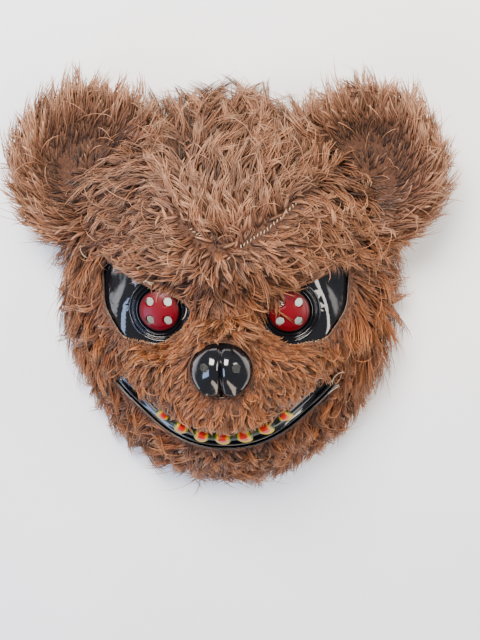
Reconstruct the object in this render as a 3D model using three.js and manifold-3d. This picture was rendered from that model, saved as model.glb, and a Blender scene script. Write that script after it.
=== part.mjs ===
// A plush bear mask for a grown-up's face: a thin moulded plastic face shell under a
// cover of long brown fur, two stuffed fur ears, red button eyes, a row of teeth and
// an elastic band. Millimetres. The mask lies on the rim of its shell with its face
// up: +Z out of the face, +Y towards the top of the head, +X to the viewer's right.

import * as THREE from "three";
import { mergeVertices } from "three/addons/utils/BufferGeometryUtils.js";
import Module from "manifold-3d";

const wasm = await Module();
wasm.setup();

// Fits
const seatGap = 0.3; // between pieces that lie on each other
const overcut = 6; // how far a cutting tool runs past what it cuts
const detail = 0.12; // edges that change a finished solid by less are left out
const roundSides = 16; // of the sockets, buttons and ears

// Face shell
const shellHalfWidth = 81; // of the rim, at mid height
const shellHalfHeight = 97; // of the rim
const shellDepth = 60; // of the plain dome, without brow or muzzle
const shellWall = 2;
const rimSquareness = 2.3; // 2 is an ellipse, more is squarer
const chinTaper = 0.08; // how much narrower the chin is than the middle
const domeFlatness = 2.6; // more keeps the middle of the dome flat for longer
const domeSteepness = 1.9; // more makes the side walls stand up straighter

// Nose, at the middle of the muzzle
const noseY = -24;
const noseWidth = 29;
const noseLength = 26;
const noseRise = 7;
const noseSpread = 1.15; // the nose's foot reaches this share of its half width
const noseFullness = 4; // more keeps its top flat for longer
const nostrilSpacing = 15;
const nostrilY = noseY + 3;
const nostrilDiameter = 4;

// Mouth: the outer edge of the lower lip, a wide grin round the muzzle
const mouthHalfWidth = 62.5;
const mouthLowY = -72.5;
const mouthTipY = -35.5;
const mouthCurl = 2.2; // the power of the grin's curve
const lipHalfThickness = 2.6;
const lipRise = 3.5;
const grooveHalfWidth = 4.5;
const grooveDepth = 4;
const mouthOpenY = -54; // the fur's edge above the mouth, on the middle line
const mouthOpenHalfWidth = 51; // the same edge ends inside the mouth's blunt corners
const mouthOpenTipY = -33;
const mouthFade = 9; // degrees round the nose over which the lip dies out at its tips

// Eyes
const eyeSpacing = 65;
const eyeY = 0;
const eyeSplay = 7; // degrees that each eye looks outwards
const eyeHeight = 57; // over the rim, of the flat bed that each socket stands on
const eyeBedRadius = 17;
const eyeBedEdge = 8; // the bed blends into the face over this width
const buttonDiameter = 21;
const buttonRise = 3.2;
const buttonThickness = 2;
const buttonHoleDiameter = 4.4;
const buttonHoleSpacing = 9.4;
const socketRadius = 16;
const socketStep = 2.6; // each of the socket's two raised rings is this wide
const socketDepth = 3;
const socketRise = 1.4; // of the inner ring over the bed
const socketLedge = 1.4; // the button's edge rests on it, so wide and so far down
const socketGrip = 0.6; // the rings run this far into the wall round the socket
const socketDip = 0.4; // of the furrows between the rings, under the bed

// Fur cover
const backing = 2.6; // woven backing with the pressed base of the pile
const hemLift = 1.2; // the cover's edge stays this far above the rim
const lockLength = 24;
const lockWidth = 9;
const lockThickness = 3.6;
const lockSpacing = 17.5;
const lockSink = 1.2; // how deep a lock's root sits in the backing
const lockBend = { forward: 0.38, rise: 0.3, size: 0.8 }; // shares of its length and width
const lockTip = { forward: 0.93, rise: 0.36 };
const lockCuts = [1, 0.7, 0.45]; // where a whole lock has no room it is cut to such a share
const lockDepths = [0, 1.5, 3]; // and where it stands off the backing it is sunk further
const lockRimShare = 0.95; // of the row all round, from the middle to the rim
const lockRimCount = 30;
const lockGrip = 6; // at least so much of a lock's volume lies in the backing
const lockFloor = 1.5; // no lock reaches lower than this

// Ears
const earRadius = 37;
const earCentreX = 72;
const earCentreY = 68;
const earCentreZ = 20;
const earThickness = 15;
const earRimRise = 7; // the rim stands this far above the middle of the dish
const earTilt = 6; // degrees that the outer edge is turned up
const earLockRows = [
  // count round the ear; out in ear radii; up in thicknesses; lean is 1 where a lock
  // stands out of the edge; face is the side it grows on; long is a share of a lock
  { count: 16, stagger: 0.0, out: 0.97, up: 0.0, lean: 0.85, face: 1, long: 0.95 },
  { count: 11, stagger: 0.5, out: 0.84, up: 0.48, lean: 0.3, face: 1, long: 0.8 },
  { count: 4, stagger: 0.0, out: 0.4, up: 0.05, lean: 0.0, face: 1, long: 0.6 },
  { count: 8, stagger: 0.25, out: 0.7, up: -0.45, lean: 0.2, face: -1, long: 0.6 },
];

// Elastic band and its two rivets
const bandWidth = 8;
const bandThickness = 1.2;
const bandLow = 4; // its lower edge above the rim
const bandSeat = 0.8; // its top edge stands this far off the wall at the rivets
const bandSag = 6; // how much further its middle hangs off the wall
const bandTail = 5; // degrees that it runs on past each rivet
const rivetTurn = 20; // degrees round the nose from the +X axis, level with the eyes
const rivetShank = 3;
const rivetHead = 7;
const rivetHeadHeight = 1;

// Teeth, each on its own ray from the nose; distances run inwards from the lip's edge
const toothRow = [
  // along: share of the mouth's half width; wide and tip in mm
  { along: 0.0, wide: 9, tip: 6 },
  { along: 0.22, wide: 8.5, tip: 6 },
  { along: 0.43, wide: 8, tip: 6.5 },
  { along: 0.62, wide: 7, tip: 7 },
];
const gumNear = 9.6;
const gumFar = 13.6;
const gumTurn = 52; // degrees to each side of straight down
const gumRise = 1.6; // over the muzzle's edge of the groove
const gumSink = 1.4;
const gumSlope = 0.6; // how much lower its top is at the teeth
const toothThickness = 4;
const toothSections = [
  // along: share of the way from root to tip; size: share of the tooth's width
  { along: 0, size: 1 },
  { along: 0.65, size: 0.84 },
  { along: 1, size: 0.4 },
];

// Soft swellings of the face. Places and radii are shares of the shell's half width
// (x, rx) and half height (y, ry), rise is a share of its depth.
const swellings = [
  { name: "muzzle", x: 0, y: -0.36, rx: 0.62, ry: 0.34, rise: 0.44, edge: 3, fall: 1.2 },
  { name: "bridge", x: 0, y: -0.07, rx: 0.24, ry: 0.3, rise: 0.14, edge: 2, fall: 1.5 },
  { name: "chin", x: 0, y: -0.7, rx: 0.6, ry: 0.3, rise: 0.2, edge: 2, fall: 1.5 },
  { name: "forehead", x: 0, y: 0.5, rx: 0.8, ry: 0.5, rise: 0.17, edge: 2, fall: 1.5 },
  { name: "right brow", x: 0.3, y: 0.24, rx: 0.48, ry: 0.17, rise: 0.12, edge: 2, fall: 1.5 },
  { name: "left brow", x: -0.3, y: 0.24, rx: 0.48, ry: 0.17, rise: 0.12, edge: 2, fall: 1.5 },
  { name: "right cheek", x: 0.66, y: -0.2, rx: 0.36, ry: 0.36, rise: 0.12, edge: 2, fall: 1.5 },
  { name: "left cheek", x: -0.66, y: -0.2, rx: 0.36, ry: 0.36, rise: 0.12, edge: 2, fall: 1.5 },
];

const rimFade = 8; // the power with which all relief dies out towards the rim

// The seam across the brow, a wide V: the fur above it is combed up, below it down.
const seamApexY = 33;
const seamSlope = 0.62;

// The fur's cut-out round the right eye, as shares of the half eye spacing from the
// eye's centre: out is away from the nose, up is towards the forehead.
const eyeCutout = [
  { out: 0.97, up: 0.8 },
  { out: 0.92, up: 0.0 },
  { out: 0.57, up: -0.45 },
  { out: 0.02, up: -0.58 },
  { out: -0.38, up: -0.28 },
  { out: -0.6, up: 0.09 },
  { out: 0.17, up: 0.4 },
];

const radians = THREE.MathUtils.degToRad;
const clamp01 = (v) => Math.min(1, Math.max(0, v));
const smooth = (v) => clamp01(v) ** 2 * (3 - 2 * clamp01(v));
const hump = (v) => (Math.abs(v) < 1 ? (1 - v * v) ** 2 : 0);

// How far out towards the rim a point lies: 0 at the middle, 1 on the rim.
function rimShare(x, y) {
  const across = Math.abs(x) / (shellHalfWidth * (1 + (chinTaper * y) / shellHalfHeight));
  const along = Math.abs(y) / shellHalfHeight;
  return (across ** rimSquareness + along ** rimSquareness) ** (1 / rimSquareness);
}

// The largest reach along a ray from the nose for which inside(x, y) still holds.
function reachAlong(angle, inside) {
  let low = 0;
  let high = 2 * shellHalfHeight;
  for (let step = 0; step < 40; step++) {
    const middle = (low + high) / 2;
    const x = middle * Math.cos(angle);
    const y = noseY + middle * Math.sin(angle);
    if (inside(x, y)) low = middle;
    else high = middle;
  }
  return low;
}

const rimReach = (angle) => reachAlong(angle, (x, y) => rimShare(x, y) < 1);

const lipY = (x) =>
  mouthLowY + (mouthTipY - mouthLowY) * (Math.abs(x) / mouthHalfWidth) ** mouthCurl;
const openY = (x) =>
  mouthOpenY + (mouthOpenTipY - mouthOpenY) * (Math.abs(x) / mouthOpenHalfWidth) ** mouthCurl;

const mouthTipAngle = Math.atan2(mouthTipY - noseY, mouthHalfWidth);
const mouthTipShare = Math.hypot(mouthHalfWidth, mouthTipY - noseY) / rimReach(mouthTipAngle);

// How far below the mouth's corner a ray points: 0 above it, 1 well below it.
function mouthWeight(x, y) {
  const fade = radians(mouthFade);
  const angle = Math.atan2(y - noseY, Math.abs(x));
  return smooth((mouthTipAngle + fade - angle) / (2 * fade));
}

// Signed distance from the lip's outer edge, growing away from the muzzle.
function pastLip(x, y) {
  const reach = Math.hypot(x, y - noseY);
  const angle = Math.atan2(y - noseY, Math.abs(x));
  if (angle > mouthTipAngle + radians(mouthFade)) return shellHalfHeight;
  return reach - mouthReach(angle);
}

function mouthReach(angle) {
  const upper = mouthTipShare * rimReach(angle);
  if (Math.sin(angle) > Math.sin(mouthTipAngle)) return upper;
  return Math.min(upper, reachAlong(angle, (x, y) => y > lipY(x)));
}

// Everything that stands on the plain dome, dying out at the rim.
function relief(x, y) {
  let rise = 0;
  for (const s of swellings) {
    const across = (x / shellHalfWidth - s.x) / s.rx;
    const along = (y / shellHalfHeight - s.y) / s.ry;
    const r = Math.hypot(across, along);
    if (r < 1) rise += s.rise * shellDepth * (1 - r ** s.edge) ** s.fall;
  }
  const noseAcross = x / (noseWidth / 2);
  const noseAlong = (y - noseY) / (noseLength / 2);
  const noseR = Math.hypot(noseAcross, noseAlong);
  if (noseR < noseSpread) rise += noseRise * (1 - (noseR / noseSpread) ** noseFullness);
  const beyond = pastLip(x, y);
  const mouth = mouthWeight(x, y);
  rise += mouth * lipRise * hump((beyond + lipHalfThickness) / lipHalfThickness);
  const fromGroove = beyond + 2 * lipHalfThickness + grooveHalfWidth;
  rise -= mouth * grooveDepth * hump(fromGroove / grooveHalfWidth);
  rise *= 1 - clamp01(rimShare(x, y)) ** rimFade;
  const fromEye = Math.abs(x) - eyeSpacing / 2;
  const bed = smooth((eyeBedRadius + eyeBedEdge - Math.hypot(fromEye, y - eyeY)) / eyeBedEdge);
  const bedHeight = eyeHeight - fromEye * Math.tan(radians(eyeSplay));
  return rise + bed * (bedHeight - domeHeight(rimShare(x, y)) - rise);
}

function domeHeight(share) {
  return shellDepth * clamp01(1 - share ** domeFlatness) ** (1 / domeSteepness);
}

const faceHeight = (x, y) => domeHeight(clamp01(rimShare(x, y))) + relief(x, y);

// The outward normal of the shell, from the equation of the dome plus its relief.
function faceNormal(x, y) {
  const step = 0.4;
  const share = clamp01(rimShare(x, y));
  const slope = (f) => [
    (f(x + step, y) - f(x - step, y)) / (2 * step),
    (f(x, y + step) - f(x, y - step)) / (2 * step),
  ];
  const [shareX, shareY] = slope(rimShare);
  const [reliefX, reliefY] = slope(relief);
  const up =
    (domeSteepness * (domeHeight(share) / shellDepth) ** (domeSteepness - 1)) / shellDepth;
  const out = domeFlatness * share ** (domeFlatness - 1);
  return new THREE.Vector3(out * shareX - up * reliefX, out * shareY - up * reliefY, up).normalize();
}

// A point at some height over the shell's outer side, negative for its inner side.
const overFace = (x, y, height) =>
  new THREE.Vector3(x, y, faceHeight(x, y)).addScaledVector(faceNormal(x, y), height);

// A closed manifold-3d solid from points and triangles, turned outward if need be.
function solidFrom(points, triangles) {
  const build = (faces) =>
    new wasm.Manifold(
      new wasm.Mesh({
        numProp: 3,
        vertProperties: new Float32Array(points.flatMap((p) => [p.x, p.y, p.z])),
        triVerts: new Uint32Array(faces.flat()),
      }),
    );
  const made = build(triangles);
  return made.volume() > 0 ? made : build(triangles.map(([a, b, c]) => [a, c, b]));
}

function solidOf(geometry) {
  const plain = new THREE.BufferGeometry();
  plain.setAttribute("position", geometry.getAttribute("position"));
  if (geometry.index) plain.setIndex(geometry.index);
  const merged = mergeVertices(plain, 1e-4);
  const place = merged.getAttribute("position");
  const points = [];
  for (let i = 0; i < place.count; i++) points.push(new THREE.Vector3().fromBufferAttribute(place, i));
  const triangles = [];
  for (let i = 0; i < merged.index.count; i += 3) {
    const face = [0, 1, 2].map((k) => merged.index.getX(i + k));
    if (new Set(face).size === 3) triangles.push(face);
  }
  return solidFrom(points, triangles);
}

function geometryOf(solid) {
  const mesh = solid.getMesh();
  const geometry = new THREE.BufferGeometry();
  const points = new Float32Array((mesh.vertProperties.length / mesh.numProp) * 3);
  for (let i = 0; i < points.length / 3; i++)
    for (let k = 0; k < 3; k++) points[3 * i + k] = mesh.vertProperties[i * mesh.numProp + k];
  geometry.setAttribute("position", new THREE.BufferAttribute(points, 3));
  geometry.setIndex(new THREE.BufferAttribute(new Uint32Array(mesh.triVerts), 1));
  geometry.computeVertexNormals();
  return geometry;
}

const placed = (geometry, matrix) => solidOf(geometry.clone().applyMatrix4(matrix));

// The face's places, on rays from the nose. The first rings lie round the nose. Where the
// mouth is the others lie on the groove and lip, elsewhere at shares of the way to the rim.
const faceSpokes = 32;
const noseRings = [8, 12.5, 16.5];
const muzzleRings = [0.45, 1];
const outerRings = [0.38, 0.7, 0.91, 1];
const plainRings = [0.15, 0.27, 0.38, 0.5, 0.62, 0.74, 0.84, 0.92, 0.97, 1];
const rings = noseRings.length + plainRings.length;

function facePlaces(angle) {
  const lip = mouthReach(angle);
  const rim = rimReach(angle);
  const nose = noseRings[noseRings.length - 1];
  const groove = lip - 2 * lipHalfThickness - 2 * grooveHalfWidth;
  const mouthReaches = [
    ...muzzleRings.map((share) => nose + share * (groove - nose)),
    groove + grooveHalfWidth,
    lip - 2 * lipHalfThickness,
    lip - lipHalfThickness,
    lip,
    ...outerRings.map((share) => lip + share * (rim - lip)),
  ];
  const fade = radians(40);
  const below = mouthTipAngle + radians(mouthFade) - Math.asin(Math.sin(angle));
  const mouth = smooth(1 + below / fade);
  const reaches = plainRings.map((share, ring) => {
    const plain = nose + share * (rim - nose);
    return plain + mouth * (mouthReaches[ring] - plain);
  });
  return [...noseRings, ...reaches].map((r) => [r * Math.cos(angle), noseY + r * Math.sin(angle)]);
}

// The face at some height over the shell: the nose's middle, then spoke by spoke.
function faceGrid(height) {
  const points = [overFace(0, noseY, height)];
  for (let spoke = 0; spoke < faceSpokes; spoke++) {
    const row = facePlaces((2 * Math.PI * spoke) / faceSpokes).map(([x, y]) => overFace(x, y, height));
    row[rings - 1].z = 0;
    points.push(...row);
  }
  return points;
}

const gridSize = 1 + faceSpokes * rings;
const gridAt = (spoke, ring) => 1 + (spoke % faceSpokes) * rings + ring;

function gridTriangles() {
  const triangles = [];
  for (let spoke = 0; spoke < faceSpokes; spoke++) {
    triangles.push([0, gridAt(spoke, 0), gridAt(spoke + 1, 0)]);
    for (let ring = 0; ring + 1 < rings; ring++) {
      const [a, b] = [gridAt(spoke, ring), gridAt(spoke, ring + 1)];
      const [c, d] = [gridAt(spoke + 1, ring + 1), gridAt(spoke + 1, ring)];
      triangles.push([a, b, c], [a, c, d]);
    }
  }
  return triangles;
}

// A wall that follows the face between two heights over the shell.
function faceWall(low, high) {
  const points = [...faceGrid(high), ...faceGrid(low)];
  const outer = gridTriangles();
  const inner = outer.map(([a, b, c]) => [a + gridSize, c + gridSize, b + gridSize]);
  const edge = [];
  for (let spoke = 0; spoke < faceSpokes; spoke++) {
    const [a, b] = [gridAt(spoke, rings - 1), gridAt(spoke + 1, rings - 1)];
    edge.push([a, a + gridSize, b + gridSize], [a, b + gridSize, b]);
  }
  return solidFrom(points, [...outer, ...inner, ...edge]);
}

// The solid form of the head up to some height over the shell, for trimming the ears.
function headForm(height) {
  const points = faceGrid(height);
  const triangles = gridTriangles();
  for (let spoke = 0; spoke < faceSpokes; spoke++)
    points.push(points[gridAt(spoke, rings - 1)].clone().setZ(-overcut));
  const bottom = points.push(new THREE.Vector3(0, noseY, -overcut)) - 1;
  for (let spoke = 0; spoke < faceSpokes; spoke++) {
    const next = (spoke + 1) % faceSpokes;
    const [a, b] = [gridAt(spoke, rings - 1), gridAt(next, rings - 1)];
    const [c, d] = [gridSize + next, gridSize + spoke];
    triangles.push([a, d, c], [a, c, b], [bottom, c, d]);
  }
  return solidFrom(points, triangles);
}

// One lock of fur: four-sided, from a root under the surface to a bent-over point.
function lock(root, normal, flow, length, width) {
  const side = new THREE.Vector3().crossVectors(normal, flow).normalize();
  const along = new THREE.Vector3().crossVectors(side, normal).normalize();
  const spot = (forward, rise) =>
    root.clone().addScaledVector(along, forward * length).addScaledVector(normal, rise * length);
  const sections = [
    { centre: root.clone().addScaledVector(normal, -lockSink), share: 1, lean: 0.25 },
    { centre: spot(lockBend.forward, lockBend.rise), share: lockBend.size, lean: 0.7 },
  ];
  const points = [];
  for (const { centre, share, lean } of sections) {
    const thick = normal.clone().multiplyScalar(lean).addScaledVector(along, lean - 1).normalize();
    const halfWide = (share * width) / 2;
    const halfThick = (share * lockThickness) / 2;
    points.push(
      centre.clone().addScaledVector(side, halfWide),
      centre.clone().addScaledVector(thick, halfThick),
      centre.clone().addScaledVector(side, -halfWide),
      centre.clone().addScaledVector(thick, -halfThick),
    );
  }
  points.push(spot(lockTip.forward, lockTip.rise));
  points.forEach((p, i) => (p.z = Math.max(p.z, lockFloor + 0.05 * i)));
  const triangles = [
    [0, 1, 2],
    [0, 2, 3],
  ];
  for (let i = 0; i < 4; i++) {
    const j = (i + 1) % 4;
    triangles.push([i, 4 + j, j], [i, 4 + i, 4 + j], [4 + i, 8, 4 + j]);
  }
  return solidFrom(points, triangles);
}

// The way that the fur is combed at a point of the face, seen from the front.
function combing(x, y) {
  const side = Math.sign(x) || 1;
  const seamHeight = seamApexY + seamSlope * Math.abs(x);
  if (y > seamHeight) return new THREE.Vector3(x / shellHalfWidth, 1, 0);
  const down = smooth((seamHeight - y) / shellHalfHeight + 0.15);
  const out = Math.abs(x) < eyeSpacing / 6 ? Math.abs(x) / shellHalfWidth : 1;
  return new THREE.Vector3(side * out * (1.1 - down), -down - 0.25, 0);
}

function cutoutSolid(shape) {
  const depth = 3 * shellDepth;
  const prism = new THREE.ExtrudeGeometry(shape, { depth, bevelEnabled: false, curveSegments: 6 });
  return placed(prism, new THREE.Matrix4().makeTranslation(0, 0, shellDepth / 4));
}

function eyeShape(side) {
  const half = eyeSpacing / 2;
  const shape = new THREE.Shape();
  const at = (p) => [side * (half + p.out * half), eyeY + p.up * half];
  shape.moveTo(...at(eyeCutout[0]));
  for (const p of eyeCutout.slice(1)) shape.lineTo(...at(p));
  shape.closePath();
  return shape;
}

function mouthShape() {
  const steps = 12;
  const shape = new THREE.Shape();
  for (let i = 0; i <= steps; i++) {
    const x = mouthHalfWidth * (1 - (2 * i) / steps);
    if (i === 0) shape.moveTo(x, lipY(x));
    else shape.lineTo(x, lipY(x));
  }
  for (let i = 0; i <= steps; i++) {
    const x = mouthOpenHalfWidth * ((2 * i) / steps - 1);
    shape.lineTo(x, openY(x));
  }
  shape.closePath();
  return shape;
}

function noseShape() {
  const shape = new THREE.Shape();
  shape.absellipse(0, noseY, noseWidth / 2 + 0.5, noseLength / 2 + 0.5, 0, 2 * Math.PI);
  return shape;
}

// The eye's own frame: its middle on the shell, looking slightly outwards.
function eyeFrame(side) {
  const x = (side * eyeSpacing) / 2;
  const turn = new THREE.Matrix4().makeRotationY(side * radians(eyeSplay));
  return new THREE.Matrix4()
    .makeTranslation(x, eyeY, eyeHeight)
    .multiply(turn);
}

const upright = new THREE.Matrix4().makeRotationX(Math.PI / 2); // a lathe's Y to +Z

const buttonBore = buttonDiameter / 2 + seatGap;

// The eye socket: two stepped rings round a bore with a ledge for the button.
function socketGeometry() {
  const profile = [
    [buttonBore - socketLedge, -socketDepth],
    [socketRadius + socketGrip, -socketDepth],
    [socketRadius + socketGrip, -socketDip],
    [buttonBore + 1.6 * socketStep, 0.4 * socketRise],
    [buttonBore + 1.2 * socketStep, -socketDip],
    [buttonBore + 0.6 * socketStep, socketRise],
    [buttonBore, 0.3 * socketRise],
    [buttonBore, -socketLedge],
    [buttonBore - socketLedge, -socketLedge],
  ];
  const closed = [...profile, profile[0]].map(([r, z]) => new THREE.Vector2(r, z));
  return new THREE.LatheGeometry(closed, roundSides);
}

// The wall round a socket, from its floor up to the face.
function socketSkirt(frame) {
  const drilled = drillSolid(2 * (socketRadius + shellWall - socketDip), roundSides, frame);
  const reach = 2 * (socketRadius + shellWall);
  const floor = new THREE.Matrix4().makeTranslation(0, 0, -socketDepth - reach / 2);
  const below = placed(new THREE.BoxGeometry(reach, reach, reach), frame.clone().multiply(floor));
  return drilled
    .subtract(drillSolid(2 * socketRadius, roundSides, frame))
    .subtract(below)
    .intersect(headForm(0));
}

function drillSolid(diameter, sides, frame) {
  const radius = diameter / 2;
  const drill = new THREE.CylinderGeometry(radius, radius, 4 * overcut, sides);
  return placed(drill, frame.clone().multiply(upright));
}

// The room that the cover leaves for a socket and its button where it laps over them.
function socketRoom(side) {
  const radius = socketRadius + socketGrip + seatGap;
  const height = overcut + socketRise + seatGap;
  const frame = eyeFrame(side);
  const low = new THREE.Matrix4().makeTranslation(0, 0, height / 2 - overcut);
  const plate = new THREE.CylinderGeometry(radius, radius, height, roundSides);
  return placed(plate, frame.clone().multiply(low).multiply(upright)).add(
    drillSolid(2 * (buttonBore + seatGap), roundSides, frame),
  );
}

// The red button: a thin dome with an upright edge and four holes.
function buildButton(side) {
  const radius = buttonDiameter / 2;
  const inner = radius - buttonThickness;
  const steps = 3;
  const dome = (size, drop) => {
    const row = [];
    for (let i = 0; i <= steps; i++) {
      const turn = (Math.PI / 2) * (i / steps);
      row.push([size * Math.sin(turn), buttonRise * Math.cos(turn) - drop]);
    }
    return row;
  };
  const edge = [
    [radius, -buttonThickness],
    [inner, -buttonThickness - 0.01],
  ];
  const profile = [...dome(radius, 0), ...edge, ...dome(inner, buttonThickness).reverse().slice(1)];
  const corners = profile.map(([r, z]) => new THREE.Vector2(r, z));
  const lathe = new THREE.LatheGeometry(corners, roundSides);
  const seat = new THREE.Matrix4().makeTranslation(0, 0, buttonThickness + seatGap - socketLedge);
  const frame = eyeFrame(side).multiply(seat);
  let button = placed(lathe, frame.clone().multiply(upright));
  for (const x of [-0.5, 0.5])
    for (const y of [-0.5, 0.5]) {
      const hole = new THREE.Matrix4().makeTranslation(x * buttonHoleSpacing, y * buttonHoleSpacing, 0);
      button = button.subtract(drillSolid(buttonHoleDiameter, 8, frame.clone().multiply(hole)));
    }
  return button;
}

// The inner side of the shell, seen from above, at some height over the rim.
function insideWall(angle, z, clear) {
  const share = (1 - (z / shellDepth) ** domeSteepness) ** (1 / domeFlatness);
  const reach = reachAlong(angle, (x, y) => rimShare(x, y) < share);
  const [x, y] = [reach * Math.cos(angle), noseY + reach * Math.sin(angle)];
  const normal = faceNormal(x, y);
  const flat = Math.hypot(normal.x, normal.y);
  const depth = shellWall / flat + clear;
  return new THREE.Vector2(x - (depth * normal.x) / flat, y - (depth * normal.y) / flat);
}

const bandTop = bandLow + bandWidth;
const bandMiddle = bandLow + bandWidth / 2;
const rivetAngle = (side) => (side > 0 ? radians(rivetTurn) : Math.PI - radians(rivetTurn));

// On a rivet's own axis 0 is the shell's inner side and +Z points into the hollow.
function rivetFrame(side) {
  const spot = insideWall(rivetAngle(side), bandMiddle, 0);
  const inward = insideWall(rivetAngle(side), bandMiddle, 1).sub(spot);
  return new THREE.Matrix4()
    .makeTranslation(spot.x, spot.y, bandMiddle)
    .multiply(new THREE.Matrix4().makeRotationZ(Math.atan2(inward.y, inward.x)))
    .multiply(new THREE.Matrix4().makeRotationY(Math.PI / 2));
}

function buildRivet(side) {
  const wallLean = insideWall(rivetAngle(side), bandMiddle, 0).distanceTo(
    insideWall(rivetAngle(side), bandTop, 0),
  );
  const top = wallLean + bandSeat + bandThickness + seatGap;
  const profile = [
    [0, 0.5 - shellWall],
    [rivetShank / 2, 0.5 - shellWall],
    [rivetShank / 2, top],
    [rivetHead / 2, top],
    [rivetHead / 2 - 0.5, top + rivetHeadHeight],
    [0, top + rivetHeadHeight],
  ].map(([r, z]) => new THREE.Vector2(r, z));
  return placed(new THREE.LatheGeometry(profile, 12), rivetFrame(side).multiply(upright));
}

const rivetHole = (side) => drillSolid(rivetShank + 2 * seatGap, 12, rivetFrame(side));

// The band stands on edge along the upper wall and hangs clear of it in the middle.
function buildBand() {
  const steps = 30;
  const start = radians(rivetTurn - bandTail);
  const points = [];
  for (let i = 0; i <= steps; i++) {
    const angle = start + (Math.PI - 2 * start) * (i / steps);
    const clear = bandSeat + bandSag * Math.sin(Math.PI * (i / steps)) ** 2;
    const outer = insideWall(angle, bandTop, clear);
    const inner = insideWall(angle, bandTop, clear + bandThickness);
    points.push(
      new THREE.Vector3(outer.x, outer.y, bandLow),
      new THREE.Vector3(inner.x, inner.y, bandLow),
      new THREE.Vector3(inner.x, inner.y, bandTop),
      new THREE.Vector3(outer.x, outer.y, bandTop),
    );
  }
  const last = 4 * steps;
  const triangles = [
    [0, 2, 1],
    [0, 3, 2],
    [last, last + 1, last + 2],
    [last, last + 2, last + 3],
  ];
  for (let i = 0; i < last; i += 4)
    for (let k = 0; k < 4; k++) {
      const [a, b] = [i + k, i + ((k + 1) % 4)];
      triangles.push([a, b, b + 4], [a, b + 4, a + 4]);
    }
  return solidFrom(points, triangles).subtract(rivetHole(-1)).subtract(rivetHole(1));
}

function buildShell() {
  let shell = faceWall(-shellWall, 0);
  for (const side of [-1, 1]) {
    const frame = eyeFrame(side);
    const x = (side * nostrilSpacing) / 2;
    const nostril = new THREE.Matrix4().makeTranslation(x, nostrilY, faceHeight(x, nostrilY));
    shell = shell
      .subtract(drillSolid(2 * socketRadius, roundSides, frame))
      .add(socketSkirt(frame))
      .add(placed(socketGeometry(), frame.clone().multiply(upright)))
      .subtract(drillSolid(nostrilDiameter, 8, nostril))
      .subtract(rivetHole(side));
  }
  return shell;
}

// A ring of points into a solid rod: every section has the same count of points.
function rodSolid(sections) {
  const count = sections[0].length;
  const points = sections.flat();
  const last = points.length - count;
  const triangles = [];
  for (let k = 1; k + 1 < count; k++) triangles.push([0, k + 1, k], [last, last + k, last + k + 1]);
  for (let i = 0; i < last; i += count)
    for (let k = 0; k < count; k++) {
      const [a, b] = [i + k, i + ((k + 1) % count)];
      triangles.push([a, b, b + count], [a, b + count, a + count]);
    }
  return solidFrom(points, triangles);
}

// A place at some distance inside the lip's edge, on a ray from the nose.
function insideLip(angle, distance) {
  const reach = mouthReach(angle) - distance;
  return [reach * Math.cos(angle), noseY + reach * Math.sin(angle)];
}

// The teeth: a gum bar on the muzzle's edge of the groove, with blunt pegs that hang out
// over the groove towards the lip.
function buildTeeth() {
  const grooveEdge = 2 * (lipHalfThickness + grooveHalfWidth);
  const edgeHeight = (angle) => faceHeight(...insideLip(angle, grooveEdge));
  const down = -Math.PI / 2;
  const barSteps = 9;
  const sections = [];
  for (let i = 0; i <= barSteps; i++) {
    const angle = down + radians(gumTurn) * ((2 * i) / barSteps - 1);
    const base = edgeHeight(angle);
    const [near, far] = [insideLip(angle, gumNear), insideLip(angle, gumFar)];
    sections.push([
      new THREE.Vector3(...far, base - gumSink),
      new THREE.Vector3(...near, base - gumSink),
      new THREE.Vector3(...near, base + gumRise - gumSlope),
      new THREE.Vector3(...far, base + gumRise),
    ]);
  }
  const pieces = [rodSolid(sections)];
  for (const tooth of toothRow)
    for (const side of tooth.along ? [-1, 1] : [1]) {
      const x = side * tooth.along * mouthHalfWidth;
      const angle = Math.atan2(lipY(x) - noseY, x);
      const tip = insideLip(angle, tooth.tip);
      const root = new THREE.Vector3(...insideLip(angle, gumFar - gumSlope), edgeHeight(angle));
      const end = new THREE.Vector3(...tip, faceHeight(...tip) + toothThickness / 3);
      const along = end.clone().sub(root).normalize();
      const across = new THREE.Vector3(-Math.sin(angle), Math.cos(angle), 0);
      const thick = new THREE.Vector3().crossVectors(along, across);
      const ring = (share, size) => {
        const middle = root.clone().lerp(end, share);
        const row = [];
        for (let k = 0; k < 6; k++) {
          const turn = (k / 6) * 2 * Math.PI;
          const wide = (size * tooth.wide * Math.cos(turn)) / 2;
          const deep = ((0.5 + size / 2) * toothThickness * Math.sin(turn)) / 2;
          row.push(middle.clone().addScaledVector(across, wide).addScaledVector(thick, deep));
        }
        return row;
      };
      pieces.push(rodSolid(toothSections.map(({ along, size }) => ring(along, size))));
    }
  return wasm.Manifold.union(pieces).subtract(faceWall(-shellWall, seatGap));
}

// An ear's section, from the middle of its back round the rim to the middle of its dish.
function earProfile() {
  const half = earThickness / 2;
  const dish = half - earRimRise;
  return [
    [0, -half],
    [0.55, -half],
    [0.85, -0.8 * half],
    [0.97, -0.4 * half],
    [1, 0.1 * half],
    [0.96, 0.7 * half],
    [0.84, half],
    [0.66, (half + dish) / 2],
    [0.4, dish + 0.5],
    [0, dish],
  ].map(([share, z]) => new THREE.Vector2(share * earRadius, z));
}

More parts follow.
